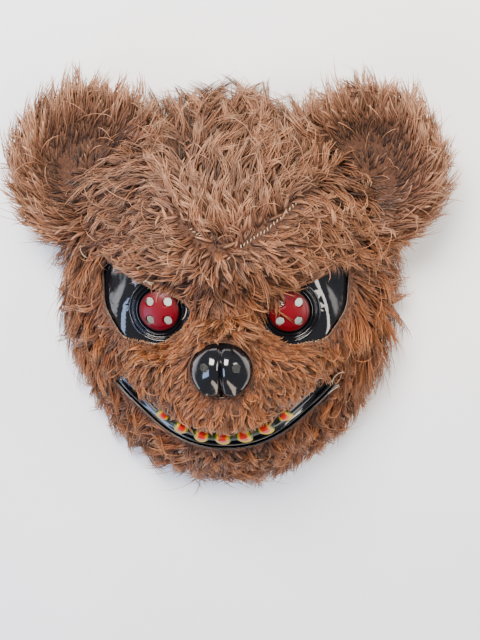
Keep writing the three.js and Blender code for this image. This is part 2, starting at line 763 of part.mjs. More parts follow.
function buildEar(side) {
  const frame = new THREE.Matrix4()
    .makeTranslation(side * earCentreX, earCentreY, earCentreZ)
    .multiply(new THREE.Matrix4().makeRotationY(-side * radians(earTilt)));
  const turned = new THREE.Matrix3().setFromMatrix4(frame);
  const trim = headForm(2 * seatGap + backing);
  const stuffed = new THREE.LatheGeometry(earProfile(), roundSides);
  const pieces = [placed(stuffed, frame.clone().multiply(upright))];
  for (const row of earLockRows)
    for (let i = 0; i < row.count; i++) {
      const turn = ((i + row.stagger) / row.count) * 2 * Math.PI;
      const radial = new THREE.Vector3(Math.cos(turn), Math.sin(turn), 0);
      const root = radial.clone().multiplyScalar(row.out * earRadius).setZ(row.up * earThickness);
      const normal = radial.clone().multiplyScalar(row.lean).setZ(row.face * (1 - row.lean));
      const flow = radial.clone().setZ(-0.4 * row.face);
      const made = lock(
        root.applyMatrix4(frame),
        normal.normalize().applyMatrix3(turned),
        flow.applyMatrix3(turned),
        row.long * lockLength,
        lockWidth,
      );
      if (made.intersect(trim).isEmpty()) pieces.push(made);
    }
  return wasm.Manifold.union(pieces).subtract(trim);
}

// Where the locks grow: rings round the nose, and one row all round above the rim.
function lockSpots() {
  const spots = [];
  const at = (reach, angle) => [reach * Math.cos(angle), noseY + reach * Math.sin(angle)];
  for (let ring = 1.4; ring * lockSpacing < 2 * shellHalfHeight; ring++) {
    const count = Math.round(2 * Math.PI * ring);
    for (let i = 0; i < count; i++) {
      const turn = (i + 0.5 * (Math.floor(ring) % 2)) / count;
      const spot = at(ring * lockSpacing, Math.PI / 2 + turn * 2 * Math.PI);
      if (rimShare(...spot) < lockRimShare - 0.07) spots.push(spot);
    }
  }
  for (let i = 0; i < lockRimCount; i++) {
    const angle = ((i + 0.5) / lockRimCount) * 2 * Math.PI;
    spots.push(at(lockRimShare * rimReach(angle), angle));
  }
  return spots;
}

// Woven backing over the whole shell with locks of fur on it, open at the eyes, nose and
// mouth. A lock that would reach a cut-out or an ear is made shorter or left off.
function buildFurCover(ears) {
  const cutouts = [eyeShape(-1), eyeShape(1), mouthShape(), noseShape()].map(cutoutSolid);
  const obstacles = [...cutouts, ...ears];
  const wall = faceWall(seatGap, seatGap + backing);
  const pieces = [wall];
  for (const [x, y] of lockSpots()) {
    const root = overFace(x, y, seatGap + backing);
    const [normal, flow] = [faceNormal(x, y), combing(x, y)];
    const share = lockCuts.find((trial) => {
      const near = lock(root, normal, flow, trial * lockLength + 1, lockWidth + 1);
      return obstacles.every((other) => near.intersect(other).isEmpty());
    });
    if (!share) continue;
    const sunk = (depth) => {
      const deeper = root.clone().addScaledVector(normal, -depth);
      return lock(deeper, normal, flow, share * lockLength, lockWidth);
    };
    const depth = lockDepths.find((trial) => sunk(trial).intersect(wall).volume() > lockGrip);
    if (depth !== undefined) pieces.push(sunk(depth));
  }
  let cover = wasm.Manifold.union(pieces).subtract(headForm(seatGap));
  for (const cut of [...cutouts, socketRoom(-1), socketRoom(1)]) cover = cover.subtract(cut);
  const wide = 4 * shellHalfHeight;
  return cover.subtract(solidOf(new THREE.BoxGeometry(wide, wide, 2 * hemLift)));
}

const blackPlastic = new THREE.MeshStandardMaterial({
  name: "black gloss plastic",
  color: "#15151a",
  roughness: 0.25,
});
const brownFur = new THREE.MeshStandardMaterial({
  name: "brown plush fur",
  color: "#9c6f52",
  roughness: 0.95,
});
const redPaint = new THREE.MeshStandardMaterial({
  name: "red gloss plastic",
  color: "#b01c28",
  roughness: 0.25,
});
const toothPaint = new THREE.MeshStandardMaterial({
  name: "yellow gloss plastic",
  color: "#e3cf52",
  roughness: 0.3,
});
const elasticWeave = new THREE.MeshStandardMaterial({
  name: "black elastic weave",
  color: "#1c1c1f",
  roughness: 0.9,
});
const rivetMetal = new THREE.MeshStandardMaterial({
  name: "bright steel",
  color: "#b9bcc0",
  roughness: 0.35,
  metalness: 1,
});

const ears = [buildEar(-1), buildEar(1)];
const pieces = [
  { name: "face_shell", solid: buildShell(), material: blackPlastic },
  { name: "fur_cover", solid: buildFurCover(ears), material: brownFur },
  { name: "ear_left", solid: ears[0], material: brownFur },
  { name: "ear_right", solid: ears[1], material: brownFur },
  { name: "eye_button_left", solid: buildButton(-1), material: redPaint },
  { name: "eye_button_right", solid: buildButton(1), material: redPaint },
  { name: "teeth", solid: buildTeeth(), material: toothPaint },
  { name: "elastic_band", solid: buildBand(), material: elasticWeave },
  { name: "band_rivet_left", solid: buildRivet(-1), material: rivetMetal },
  { name: "band_rivet_right", solid: buildRivet(1), material: rivetMetal },
];

const bearMask = new THREE.Group();
bearMask.name = "bear_mask";
for (const { name, solid, material } of pieces) {
  const mesh = new THREE.Mesh(geometryOf(solid.simplify(detail)), material.clone());
  mesh.name = name;
  bearMask.add(mesh);
}

// The origin lies on the surface that the mask rests on, under the middle of the whole.
const overall = new THREE.Box3().setFromObject(bearMask);
bearMask.position.y = -overall.getCenter(new THREE.Vector3()).y;

export default bearMask;
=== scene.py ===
"""A plush bear mask: a moulded gloss face under long brown fur, with stuffed fur ears, red
button eyes, painted teeth and an elastic band. It lies face up on its shell's rim.

Lengths are millimetres in the mask's own frame: +X to the viewer's right, +Y towards the
top of the head, +Z out of the face, with y = 0 level with the eyes. metres() turns them
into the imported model's frame."""

import math

import bpy
import numpy as np
from mathutils import Matrix, Vector
from mathutils.kdtree import KDTree


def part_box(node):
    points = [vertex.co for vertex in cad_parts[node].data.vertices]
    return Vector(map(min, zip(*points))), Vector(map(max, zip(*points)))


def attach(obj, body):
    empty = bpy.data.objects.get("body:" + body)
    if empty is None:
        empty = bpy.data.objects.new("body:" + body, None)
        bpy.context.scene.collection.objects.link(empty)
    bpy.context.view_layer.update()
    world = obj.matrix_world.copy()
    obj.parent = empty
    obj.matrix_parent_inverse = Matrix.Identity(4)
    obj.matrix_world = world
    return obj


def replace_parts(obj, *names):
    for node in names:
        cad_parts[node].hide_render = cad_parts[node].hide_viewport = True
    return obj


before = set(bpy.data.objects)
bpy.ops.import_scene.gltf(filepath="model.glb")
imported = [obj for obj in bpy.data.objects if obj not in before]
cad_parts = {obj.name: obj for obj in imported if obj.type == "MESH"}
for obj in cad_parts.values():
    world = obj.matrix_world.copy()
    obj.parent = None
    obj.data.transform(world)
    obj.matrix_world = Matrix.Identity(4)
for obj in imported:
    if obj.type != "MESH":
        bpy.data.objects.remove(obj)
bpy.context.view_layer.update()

# Fits
SEAT_GAP = 0.3
OVERCUT = 6

# Face shell
SHELL_HALF_WIDTH = 81
SHELL_HALF_HEIGHT = 97
SHELL_DEPTH = 60
SHELL_WALL = 2
RIM_SQUARENESS = 2.3
CHIN_TAPER = 0.08
DOME_FLATNESS = 2.6
DOME_STEEPNESS = 1.9
RIM_FADE = 8

# Nose
NOSE_Y = -24
NOSE_WIDTH = 29
NOSE_LENGTH = 26
NOSE_RISE = 7
NOSE_SPREAD = 1.0
NOSE_FULLNESS = 4
NOSTRIL_SPACING = 15
NOSTRIL_Y = NOSE_Y + 3
NOSTRIL_DIAMETER = 4

# The two lobes that the nose is carved into, in shares of its half width and half length
LOBE_PLACE = 0.47
LOBE_REACH = 0.62
LOBE_LENGTH = 1.3
LOBE_FOOT = 0.42 * NOSE_RISE
LOBE_RISE = 0.72 * NOSE_RISE
FURROW_DEPTH = 1.3
FURROW_HALF = 0.9

# Mouth
MOUTH_HALF_WIDTH = 62.5
MOUTH_LOW_Y = -72.5
MOUTH_TIP_Y = -35.5
MOUTH_CURL = 2.2
MOUTH_FADE = math.radians(9)
LIP_HALF = 2.6
LIP_RISE = 3.5
GROOVE_HALF = 4.5
GROOVE_DEPTH = 4
MOUTH_OPEN_Y = -54
MOUTH_OPEN_HALF_WIDTH = 51
MOUTH_OPEN_TIP_Y = -33

# Eyes
EYE_SPACING = 65
EYE_SPLAY = math.radians(7)
EYE_HEIGHT = 57
EYE_BED_RADIUS = 17
EYE_BED_EDGE = 8
BUTTON_DIAMETER = 21
BUTTON_RISE = 3.2
BUTTON_THICKNESS = 2
BUTTON_HOLE_DIAMETER = 4.4
BUTTON_HOLE_SPACING = 9.4
BUTTON_BORE = BUTTON_DIAMETER / 2 + SEAT_GAP
SOCKET_RADIUS = 16
SOCKET_DEPTH = 3
SOCKET_LEDGE = 1.4
SOCKET_OUTSIDE = SOCKET_RADIUS + 0.6  # its rings run a little under the shell's bed
SOCKET_RING_GAP = 1.95
SOCKET_RING_RISE = (1.6, 0.7)  # of its inmost and its outmost ring
SOCKET_FLOOR = -0.35
BUTTON_GROOVE_RADIUS = 8.9
BUTTON_GROOVE_DEPTH = 0.22
BUTTON_GROOVE_HALF = 0.4

# Teeth
TOOTH_ROW = [
    {"along": 0.0, "wide": 9, "tip": 5.6},
    {"along": 0.22, "wide": 8.5, "tip": 5.6},
    {"along": 0.43, "wide": 8, "tip": 6.2},
    {"along": 0.62, "wide": 7, "tip": 6.8},
]
GUM_NEAR = 9.6
GUM_FAR = 13.6
GUM_TURN = math.radians(52)
GUM_RISE = 1.6
GUM_SINK = 1.4
GUM_SLOPE = 0.6
TOOTH_THICKNESS = 4
SPOT_PLACE = 0.12  # the red spot's middle, as a share of the way from root to tip
SPOT_LENGTH = 0.72
SPOT_NARROWNESS = 0.75

# Ears
EAR_RADIUS = 37
EAR_CENTRE = (72, 68, 20)
EAR_THICKNESS = 15
EAR_RIM_RISE = 7
EAR_TILT = math.radians(6)

# Cover and seam
BACKING = 1.4
COVER_TOP = SEAT_GAP + BACKING
HEM_LIFT = 1.2
SEAM_APEX = (3, 31)
SEAM_ROUND = 9
SEAM_SLOPE = 0.92
SEAM_SHOWS = (9, 44)  # how far to the right of the middle the pile parts over the seam


def swelling(x, y, reach_x, reach_y, rise, edge=2, fall=1.5):
    """One soft form of the face. Places and reaches are shares of the shell's half width and
    half height, and rise is a share of its depth. edge and fall set how it runs out."""
    return {"x": x, "y": y, "rx": reach_x, "ry": reach_y, "rise": rise, "edge": edge, "fall": fall}


SWELLINGS = {
    "muzzle": swelling(0, -0.36, 0.62, 0.34, 0.44, edge=3, fall=1.2),
    "bridge": swelling(0, -0.07, 0.24, 0.3, 0.14),
    "chin": swelling(0, -0.7, 0.6, 0.3, 0.2),
    "forehead": swelling(0, 0.5, 0.8, 0.5, 0.17),
    "right brow": swelling(0.3, 0.24, 0.48, 0.17, 0.12),
    "left brow": swelling(-0.3, 0.24, 0.48, 0.17, 0.12),
    "right cheek": swelling(0.66, -0.2, 0.36, 0.36, 0.12),
    "left cheek": swelling(-0.66, -0.2, 0.36, 0.36, 0.12),
}

# The fur's cut-out round the right eye, in half eye spacings from the eye's centre.
EYE_CUTOUT = [
    {"out": 0.97, "up": 0.8},
    {"out": 0.92, "up": 0.0},
    {"out": 0.57, "up": -0.45},
    {"out": 0.02, "up": -0.58},
    {"out": -0.38, "up": -0.28},
    {"out": -0.6, "up": 0.09},
    {"out": 0.17, "up": 0.4},
]

# Camera: how far above and to the right of the face's middle it looks from
CAMERA_UP = math.radians(10)
CAMERA_RIGHT = math.radians(2)
CAMERA_TARGET = (7, -9.5, 30)
CAMERA_DISTANCE = 0.475  # metres
CAMERA_LENS = 50
CAMERA_SENSOR = 36
FLOOR_SIZE = 6  # metres

# Each studio light's direction, distance and size in metres, power in watts and colour
LIGHT_TARGET = (0, 0, 30)
STUDIO_LIGHTS = {
    "key_softbox": ((-0.28, 0.8, 1), 0.9, (0.5, 0.4), 23, "#fff6ee"),
    "window_box": ((-1.0, -0.45, 0.9), 0.8, (0.4, 0.5), 6.5, "#b8d2ff"),
    "right_fill": ((1.1, 0.15, 0.8), 0.9, (0.3, 0.6), 8, "#fff4ea"),
    "chin_fill": ((0.5, -1.9, 0.6), 0.9, (0.9, 0.2), 3.5, "#ffe8d2"),
}
ROOM_COLOUR = "#dfe6f0"
ROOM_STRENGTH = 0.36

# Grain of the materials, in millimetres from one grain, rib or twist to the next
PLASTIC_RIPPLE = 9.09
PLASTIC_DUST = 1.11
RED_MIST = 3.85
TOOTH_MIST = 2.38
FIBRE_STREAKS = (3.0, 0.14, 1.0)  # streaks to a millimetre across and along a hair
PILE_GRAIN = 1.43
KNIT_LOOP = 0.714
THREAD_TWIST = 0.196
ELASTIC_RIB = 0.982
ELASTIC_YARN = 0.625
RIVET_WEAR = 0.833
PAPER_CLOUD = 83.3

# Heights in metres between which the pile turns from warm and darker lower down to cool and paler on the
# crown: partly its own tint, partly painted light from above and painted shade lower down
CROWN_FROM = -0.02
CROWN_TO = 0.06

# The shell's rim is centred on the mask's own y = 0, which gives the frame's shift.
shell_low, shell_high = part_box("face_shell")
FRAME_SHIFT = np.array([0, 500 * (shell_low.y + shell_high.y), 0])


def metres(points):
    return (np.asarray(points, float) + FRAME_SHIFT) / 1000


TO_FRAME = Matrix.Translation(Vector(FRAME_SHIFT / 1000)) @ Matrix.Scale(0.001, 4)


# The form of the face


def clamp01(value):
    return np.clip(value, 0, 1)


def smooth(value):
    return clamp01(value) ** 2 * (3 - 2 * clamp01(value))


def hump(value):
    return np.where(np.abs(value) < 1, (1 - value**2) ** 2, 0)


def rim_share(x, y):
    """0 at the middle of the face, 1 on the shell's rim."""
    across = np.abs(x) / (SHELL_HALF_WIDTH * (1 + CHIN_TAPER * y / SHELL_HALF_HEIGHT))
    along = np.abs(y) / SHELL_HALF_HEIGHT
    return (across**RIM_SQUARENESS + along**RIM_SQUARENESS) ** (1 / RIM_SQUARENESS)


def reach_along(angle, inside):
    """The largest reach along each ray from the nose for which inside(x, y) still holds."""
    low = np.zeros_like(angle)
    high = np.full_like(angle, 2.0 * SHELL_HALF_HEIGHT)
    for _ in range(36):
        middle = (low + high) / 2
        held = inside(middle * np.cos(angle), NOSE_Y + middle * np.sin(angle))
        low = np.where(held, middle, low)
        high = np.where(held, high, middle)
    return low


def lip_y(x):
    return MOUTH_LOW_Y + (MOUTH_TIP_Y - MOUTH_LOW_Y) * (np.abs(x) / MOUTH_HALF_WIDTH) ** MOUTH_CURL


def open_y(x):
    rise = MOUTH_OPEN_TIP_Y - MOUTH_OPEN_Y
    return MOUTH_OPEN_Y + rise * (np.abs(x) / MOUTH_OPEN_HALF_WIDTH) ** MOUTH_CURL


RAYS = np.linspace(0, 2 * np.pi, 2881)
RIM_REACHES = reach_along(RAYS, lambda x, y: rim_share(x, y) < 1)
MOUTH_TIP_ANGLE = math.atan2(MOUTH_TIP_Y - NOSE_Y, MOUTH_HALF_WIDTH)
MOUTH_TIP_REACH = math.hypot(MOUTH_HALF_WIDTH, MOUTH_TIP_Y - NOSE_Y)


def rim_reach(angle):
    return np.interp(np.mod(angle, 2 * np.pi), RAYS, RIM_REACHES)


MOUTH_TIP_SHARE = MOUTH_TIP_REACH / rim_reach(MOUTH_TIP_ANGLE)
MOUTH_REACHES = np.where(
    np.sin(RAYS) > math.sin(MOUTH_TIP_ANGLE),
    MOUTH_TIP_SHARE * RIM_REACHES,
    np.minimum(MOUTH_TIP_SHARE * RIM_REACHES, reach_along(RAYS, lambda x, y: y > lip_y(x))),
)


def mouth_reach(angle):
    return np.interp(np.mod(angle, 2 * np.pi), RAYS, MOUTH_REACHES)


def mouth_weight(x, y):
    """0 above the mouth's corners, 1 well below them."""
    angle = np.arctan2(y - NOSE_Y, np.abs(x))
    return smooth((MOUTH_TIP_ANGLE + MOUTH_FADE - angle) / (2 * MOUTH_FADE))


def past_lip(x, y):
    """Signed distance from the lip's outer edge, growing away from the muzzle."""
    angle = np.arctan2(y - NOSE_Y, np.abs(x))
    beyond = np.hypot(x, y - NOSE_Y) - mouth_reach(angle)
    return np.where(angle > MOUTH_TIP_ANGLE + MOUTH_FADE, SHELL_HALF_HEIGHT, beyond)


def dome_height(share):
    return SHELL_DEPTH * clamp01(1 - share**DOME_FLATNESS) ** (1 / DOME_STEEPNESS)


def relief(x, y):
    rise = np.zeros(np.broadcast(x, y).shape)
    for form in SWELLINGS.values():
        across = (x / SHELL_HALF_WIDTH - form["x"]) / form["rx"]
        along = (y / SHELL_HALF_HEIGHT - form["y"]) / form["ry"]
        near = clamp01(np.hypot(across, along))
        rise = rise + form["rise"] * SHELL_DEPTH * (1 - near ** form["edge"]) ** form["fall"]
    nose = np.hypot(x / (NOSE_WIDTH / 2), (y - NOSE_Y) / (NOSE_LENGTH / 2)) / NOSE_SPREAD
    rise = rise + NOSE_RISE * (1 - clamp01(nose) ** NOSE_FULLNESS)
    beyond = past_lip(x, y)
    mouth = mouth_weight(x, y)
    rise = rise + mouth * LIP_RISE * hump((beyond + LIP_HALF) / LIP_HALF)
    rise = rise - mouth * GROOVE_DEPTH * hump((beyond + 2 * LIP_HALF + GROOVE_HALF) / GROOVE_HALF)
    rise = rise * (1 - clamp01(rim_share(x, y)) ** RIM_FADE)
    from_eye = np.abs(x) - EYE_SPACING / 2
    bed = smooth((EYE_BED_RADIUS + EYE_BED_EDGE - np.hypot(from_eye, y)) / EYE_BED_EDGE)
    bed_height = EYE_HEIGHT - from_eye * math.tan(EYE_SPLAY)
    return rise + bed * (bed_height - dome_height(rim_share(x, y)) - rise)


def face_height(x, y):
    return dome_height(clamp01(rim_share(x, y))) + relief(x, y)


def face_normal(x, y):
    step = 0.4
    share = clamp01(rim_share(x, y))

    def slopes(form):
        return (
            (form(x + step, y) - form(x - step, y)) / (2 * step),
            (form(x, y + step) - form(x, y - step)) / (2 * step),
        )

    share_x, share_y = slopes(rim_share)
    relief_x, relief_y = slopes(relief)
    up = DOME_STEEPNESS * (dome_height(share) / SHELL_DEPTH) ** (DOME_STEEPNESS - 1) / SHELL_DEPTH
    out = DOME_FLATNESS * share ** (DOME_FLATNESS - 1)
    normal = np.stack([out * share_x - up * relief_x, out * share_y - up * relief_y, up], -1)
    return normal / np.linalg.norm(normal, axis=-1, keepdims=True)


def over_face(x, y, height):
    """Points at some height over the shell's outer side."""
    x, y = np.asarray(x, float), np.asarray(y, float)
    at = np.stack([x, y, face_height(x, y)], -1)
    return at + np.asarray(height)[..., None] * face_normal(x, y)


def spot_over_face(x, y, height=0.0):
    return Vector(over_face(np.array([x]), np.array([y]), np.array([height]))[0])


# Working in Blender


def deselect():
    bpy.ops.object.select_all(action="DESELECT")


def activate(piece):
    deselect()
    piece.select_set(True)
    bpy.context.view_layer.objects.active = piece


def edit(piece, *steps):
    """Runs edit mode steps on the whole of a piece."""
    activate(piece)
    bpy.ops.object.mode_set(mode="EDIT")
    bpy.ops.mesh.select_all(action="SELECT")
    for step in steps:
        step()
    bpy.ops.object.mode_set(mode="OBJECT")


def merge_close():
    bpy.ops.mesh.remove_doubles(threshold=1e-5)
    bpy.ops.mesh.dissolve_degenerate(threshold=1e-6)
    bpy.ops.mesh.delete_loose(use_verts=True, use_edges=True, use_faces=False)


def face_outwards():
    bpy.ops.mesh.select_all(action="SELECT")
    bpy.ops.mesh.normals_make_consistent(inside=False)


def modify(piece, kind, **settings):
    """Adds a modifier and applies it."""
    activate(piece)
    modifier = piece.modifiers.new(kind.lower(), kind)
    for key, value in settings.items():
        setattr(modifier, key, value)
    bpy.ops.object.modifier_apply(modifier=modifier.name)


def combine(piece, tool, operation):
    """Cuts piece with tool or joins them. The tool is used up."""
    settings = {"operation": operation, "object": tool, "material_mode": "TRANSFER"}
    modify(piece, "BOOLEAN", solver="MANIFOLD", **settings)
    bpy.data.objects.remove(tool)


def join(name, parts):
    deselect()
    for part in parts:
        part.select_set(True)
    bpy.context.view_layer.objects.active = parts[0]
    bpy.ops.object.join()
    parts[0].name = name
    return parts[0]


def coordinates(piece):
    flat = np.empty(3 * len(piece.data.vertices), np.float32)
    piece.data.vertices.foreach_get("co", flat)
    return flat.reshape(-1, 3).astype(float)


def set_coordinates(piece, points):
    piece.data.vertices.foreach_set("co", np.asarray(points, np.float32).ravel())
    piece.data.update()


def started(name):
    """The primitive that was just added, under its own name and with its place in its mesh."""
    piece = bpy.context.object
    piece.name = name
    piece.data.name = name
    bpy.ops.object.transform_apply(location=True, rotation=True, scale=True)
    return piece


def spun(name, profile, steps, place):
    """A closed outline of (radius, height) corners spun round the Z axis of place."""
    bpy.ops.mesh.primitive_circle_add(vertices=len(profile), radius=1, fill_type="NOTHING")
    piece = started(name)
    set_coordinates(piece, [(radius, 0, height) for radius, height in profile])
    edit(
        piece,
        lambda: bpy.ops.mesh.spin(steps=steps, angle=2 * math.pi, center=(0, 0, 0), axis=(0, 0, 1)),
        lambda: bpy.ops.mesh.select_all(action="SELECT"),
        merge_close,
        face_outwards,
    )
    piece.data.transform(place)
    return piece


def prism(name, outline, low, high):
    """An upright block with the given outline."""
    bpy.ops.mesh.primitive_circle_add(vertices=len(outline), radius=1, fill_type="NGON")
    piece = started(name)
    set_coordinates(piece, [(x, y, low) for x, y in outline])
    edit(
        piece,
        lambda: bpy.ops.mesh.extrude_region_move(TRANSFORM_OT_translate={"value": (0, 0, high - low)}),
        face_outwards,
    )
    return piece


def piece_from(name, points, faces):
    """A piece made as one mesh from arrays of points and triangles."""
    mesh = bpy.data.meshes.new(name)
    mesh.vertices.add(len(points))
    mesh.vertices.foreach_set("co", np.asarray(points, np.float32).ravel())
    mesh.loops.add(faces.size)
    mesh.loops.foreach_set("vertex_index", faces.astype(np.int32).ravel())
    mesh.polygons.add(len(faces))
    mesh.polygons.foreach_set("loop_start", np.arange(0, faces.size, 3, dtype=np.int32))
    mesh.polygons.foreach_set("use_smooth", np.ones(len(faces), bool))
    mesh.update(calc_edges=True)
    piece = bpy.data.objects.new(name, mesh)
    bpy.context.collection.objects.link(piece)
    return piece


def set_attribute(piece, name, values, kind="FLOAT"):
    attribute = piece.data.attributes.new(name, kind, "POINT")
    field = "value" if kind == "FLOAT" else "vector"
    attribute.data.foreach_set(field, np.asarray(values, np.float32).ravel())


def smooth_shaded(piece, degrees=40):
    activate(piece)
    bpy.ops.object.shade_smooth_by_angle(angle=math.radians(degrees))


def finished(piece, material):
    """Puts a millimetre piece into the frame, with its material, body and slot."""
    piece.data.transform(TO_FRAME)
    if material is not None:
        piece.data.materials.clear()
        piece.data.materials.append(material)
    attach(piece, "root")
    return piece


# Materials


def linear(code):
    """A linear colour from an sRGB hex code."""
    parts = [int(code[i : i + 2], 16) / 255 for i in (1, 3, 5)]
    return [c / 12.92 if c <= 0.04045 else ((c + 0.055) / 1.055) ** 2.4 for c in parts] + [1]


def grains(millimetres):
    """A noise's scale from the size of one grain."""
    return 1000 / millimetres


def stripes(millimetres):
    """A wave texture's scale from the distance of its stripes."""
    return 2 * math.pi / 20 * 1000 / millimetres


def add(tree, kind, inputs=None, stops=(), **settings):
    """Adds a node with its settings; an input takes a value or another node's output. stops
    are a colour ramp's (place, sRGB hex) pairs."""
    node = tree.nodes.new(kind)
    for key, value in settings.items():
        setattr(node, key, value)
    for key, value in (inputs or {}).items():
        if isinstance(value, bpy.types.NodeSocket):
            tree.links.new(value, node.inputs[key])
        else:
            node.inputs[key].default_value = value
    for index, (place, code) in enumerate(stops):
        elements = node.color_ramp.elements
        if index == len(elements):
            elements.new(1.0)
        elements[index].position = place
        elements[index].color = linear(code)
    return node


def new_material(name):
    material = bpy.data.materials.new(name)
    material.use_nodes = True
    material.node_tree.nodes.clear()
    return material, material.node_tree


def black_moulded_plastic():
    """Vacuum-formed gloss styrene: a deep black mirror with the slow ripple of a thin wall."""
    material, tree = new_material("black_moulded_plastic")
    place = add(tree, "ShaderNodeTexCoord").outputs["Object"]
    ripple = add(
        tree,
        "ShaderNodeTexNoise",
        {"Vector": place, "Scale": grains(PLASTIC_RIPPLE), "Detail": 2, "Roughness": 0.5},
    )
    dust = add(
        tree,
        "ShaderNodeTexNoise",
        {"Vector": place, "Scale": grains(PLASTIC_DUST), "Detail": 3, "Roughness": 0.6},
    )
    bump = add(
        tree,
        "ShaderNodeBump",
        {"Strength": 0.25, "Distance": 0.0012, "Height": ripple.outputs["Fac"]},
    )
    rough = add(
        tree,
        "ShaderNodeMapRange",
        {"Value": dust.outputs["Fac"], "From Min": 0.4, "From Max": 0.75, "To Min": 0.07, "To Max": 0.2},
    )
    shader = add(
        tree,
        "ShaderNodeBsdfPrincipled",
        {
            "Base Color": linear("#0b0b0e"),
            "Roughness": rough.outputs["Result"],
            "IOR": 1.55,
            "Coat Weight": 0.4,
            "Coat Roughness": 0.05,
            "Normal": bump.outputs["Normal"],
        },
    )
    add(tree, "ShaderNodeOutputMaterial", {"Surface": shader.outputs["BSDF"]})
    return material


def red_sprayed_plastic():
    """Gloss styrene sprayed red from the front: the paint thins out to black at the edge."""
    material, tree = new_material("red_sprayed_plastic")
    place = add(tree, "ShaderNodeTexCoord").outputs["Object"]
    radius = add(tree, "ShaderNodeAttribute", attribute_name="from_middle").outputs["Fac"]
    mist = add(
        tree,
        "ShaderNodeTexNoise",
        {"Vector": place, "Scale": grains(RED_MIST), "Detail": 4, "Roughness": 0.6},
    )
    shift = add(
        tree, "ShaderNodeMath", {0: mist.outputs["Fac"], 1: 0.16, 2: -0.08}, operation="MULTIPLY_ADD"
    )
    edge = add(tree, "ShaderNodeMath", {0: radius, 1: shift.outputs[0]}, operation="ADD")
    colour = add(
        tree,
        "ShaderNodeValToRGB",
        {"Fac": edge.outputs[0]},
        stops=[(0.0, "#66000e"), (0.84, "#5c000d"), (0.96, "#3c0208"), (1.0, "#140507")],
    ).outputs["Color"]
    shader = add(
        tree,
        "ShaderNodeBsdfPrincipled",
        {"Base Color": colour, "Roughness": 0.4, "IOR": 1.3, "Coat Weight": 0.05, "Coat Roughness": 0.1},
    )
    add(tree, "ShaderNodeOutputMaterial", {"Surface": shader.outputs["BSDF"]})
    return material


def tooth_sprayed_plastic():
    """Gloss styrene, sprayed yellow with a red spot near the root; the yellow thins to green
    on the black at a tooth's sides."""
    material, tree = new_material("tooth_sprayed_plastic")
    place = add(tree, "ShaderNodeTexCoord").outputs["Object"]
    spot = add(tree, "ShaderNodeAttribute", attribute_name="from_spot").outputs["Fac"]
    mist = add(
        tree,
        "ShaderNodeTexNoise",
        {"Vector": place, "Scale": grains(TOOTH_MIST), "Detail": 4, "Roughness": 0.6},
    )
    shift = add(
        tree, "ShaderNodeMath", {0: mist.outputs["Fac"], 1: 0.3, 2: -0.15}, operation="MULTIPLY_ADD"
    )
    fade = add(tree, "ShaderNodeMath", {0: spot, 1: shift.outputs[0]}, operation="ADD")
    colour = add(
        tree,
        "ShaderNodeValToRGB",
        {"Fac": fade.outputs[0]},
        stops=[(0.0, "#a01408"), (0.3, "#b01c08"), (0.42, "#c88408"), (0.6, "#c8a80c")],
    ).outputs["Color"]
    aside = add(tree, "ShaderNodeAttribute", attribute_name="aside").outputs["Fac"]
    thin = add(tree, "ShaderNodeMath", {0: aside, 1: shift.outputs[0]}, operation="ADD")
    cover = add(
        tree,
        "ShaderNodeValToRGB",
        {"Fac": thin.outputs[0]},
        stops=[(0.55, "#ffffff"), (0.8, "#4a8a2a"), (1.0, "#0a140c")],
    ).outputs["Color"]
    painted = add(
        tree,
        "ShaderNodeMix",
        {"Factor": 1.0, "A": colour, "B": cover},
        data_type="RGBA",
        blend_type="MULTIPLY",
    )
    shader = add(
        tree,
        "ShaderNodeBsdfPrincipled",
        {"Base Color": painted.outputs["Result"], "Roughness": 0.34, "IOR": 1.28},
    )
    add(tree, "ShaderNodeOutputMaterial", {"Surface": shader.outputs["BSDF"]})
    return material


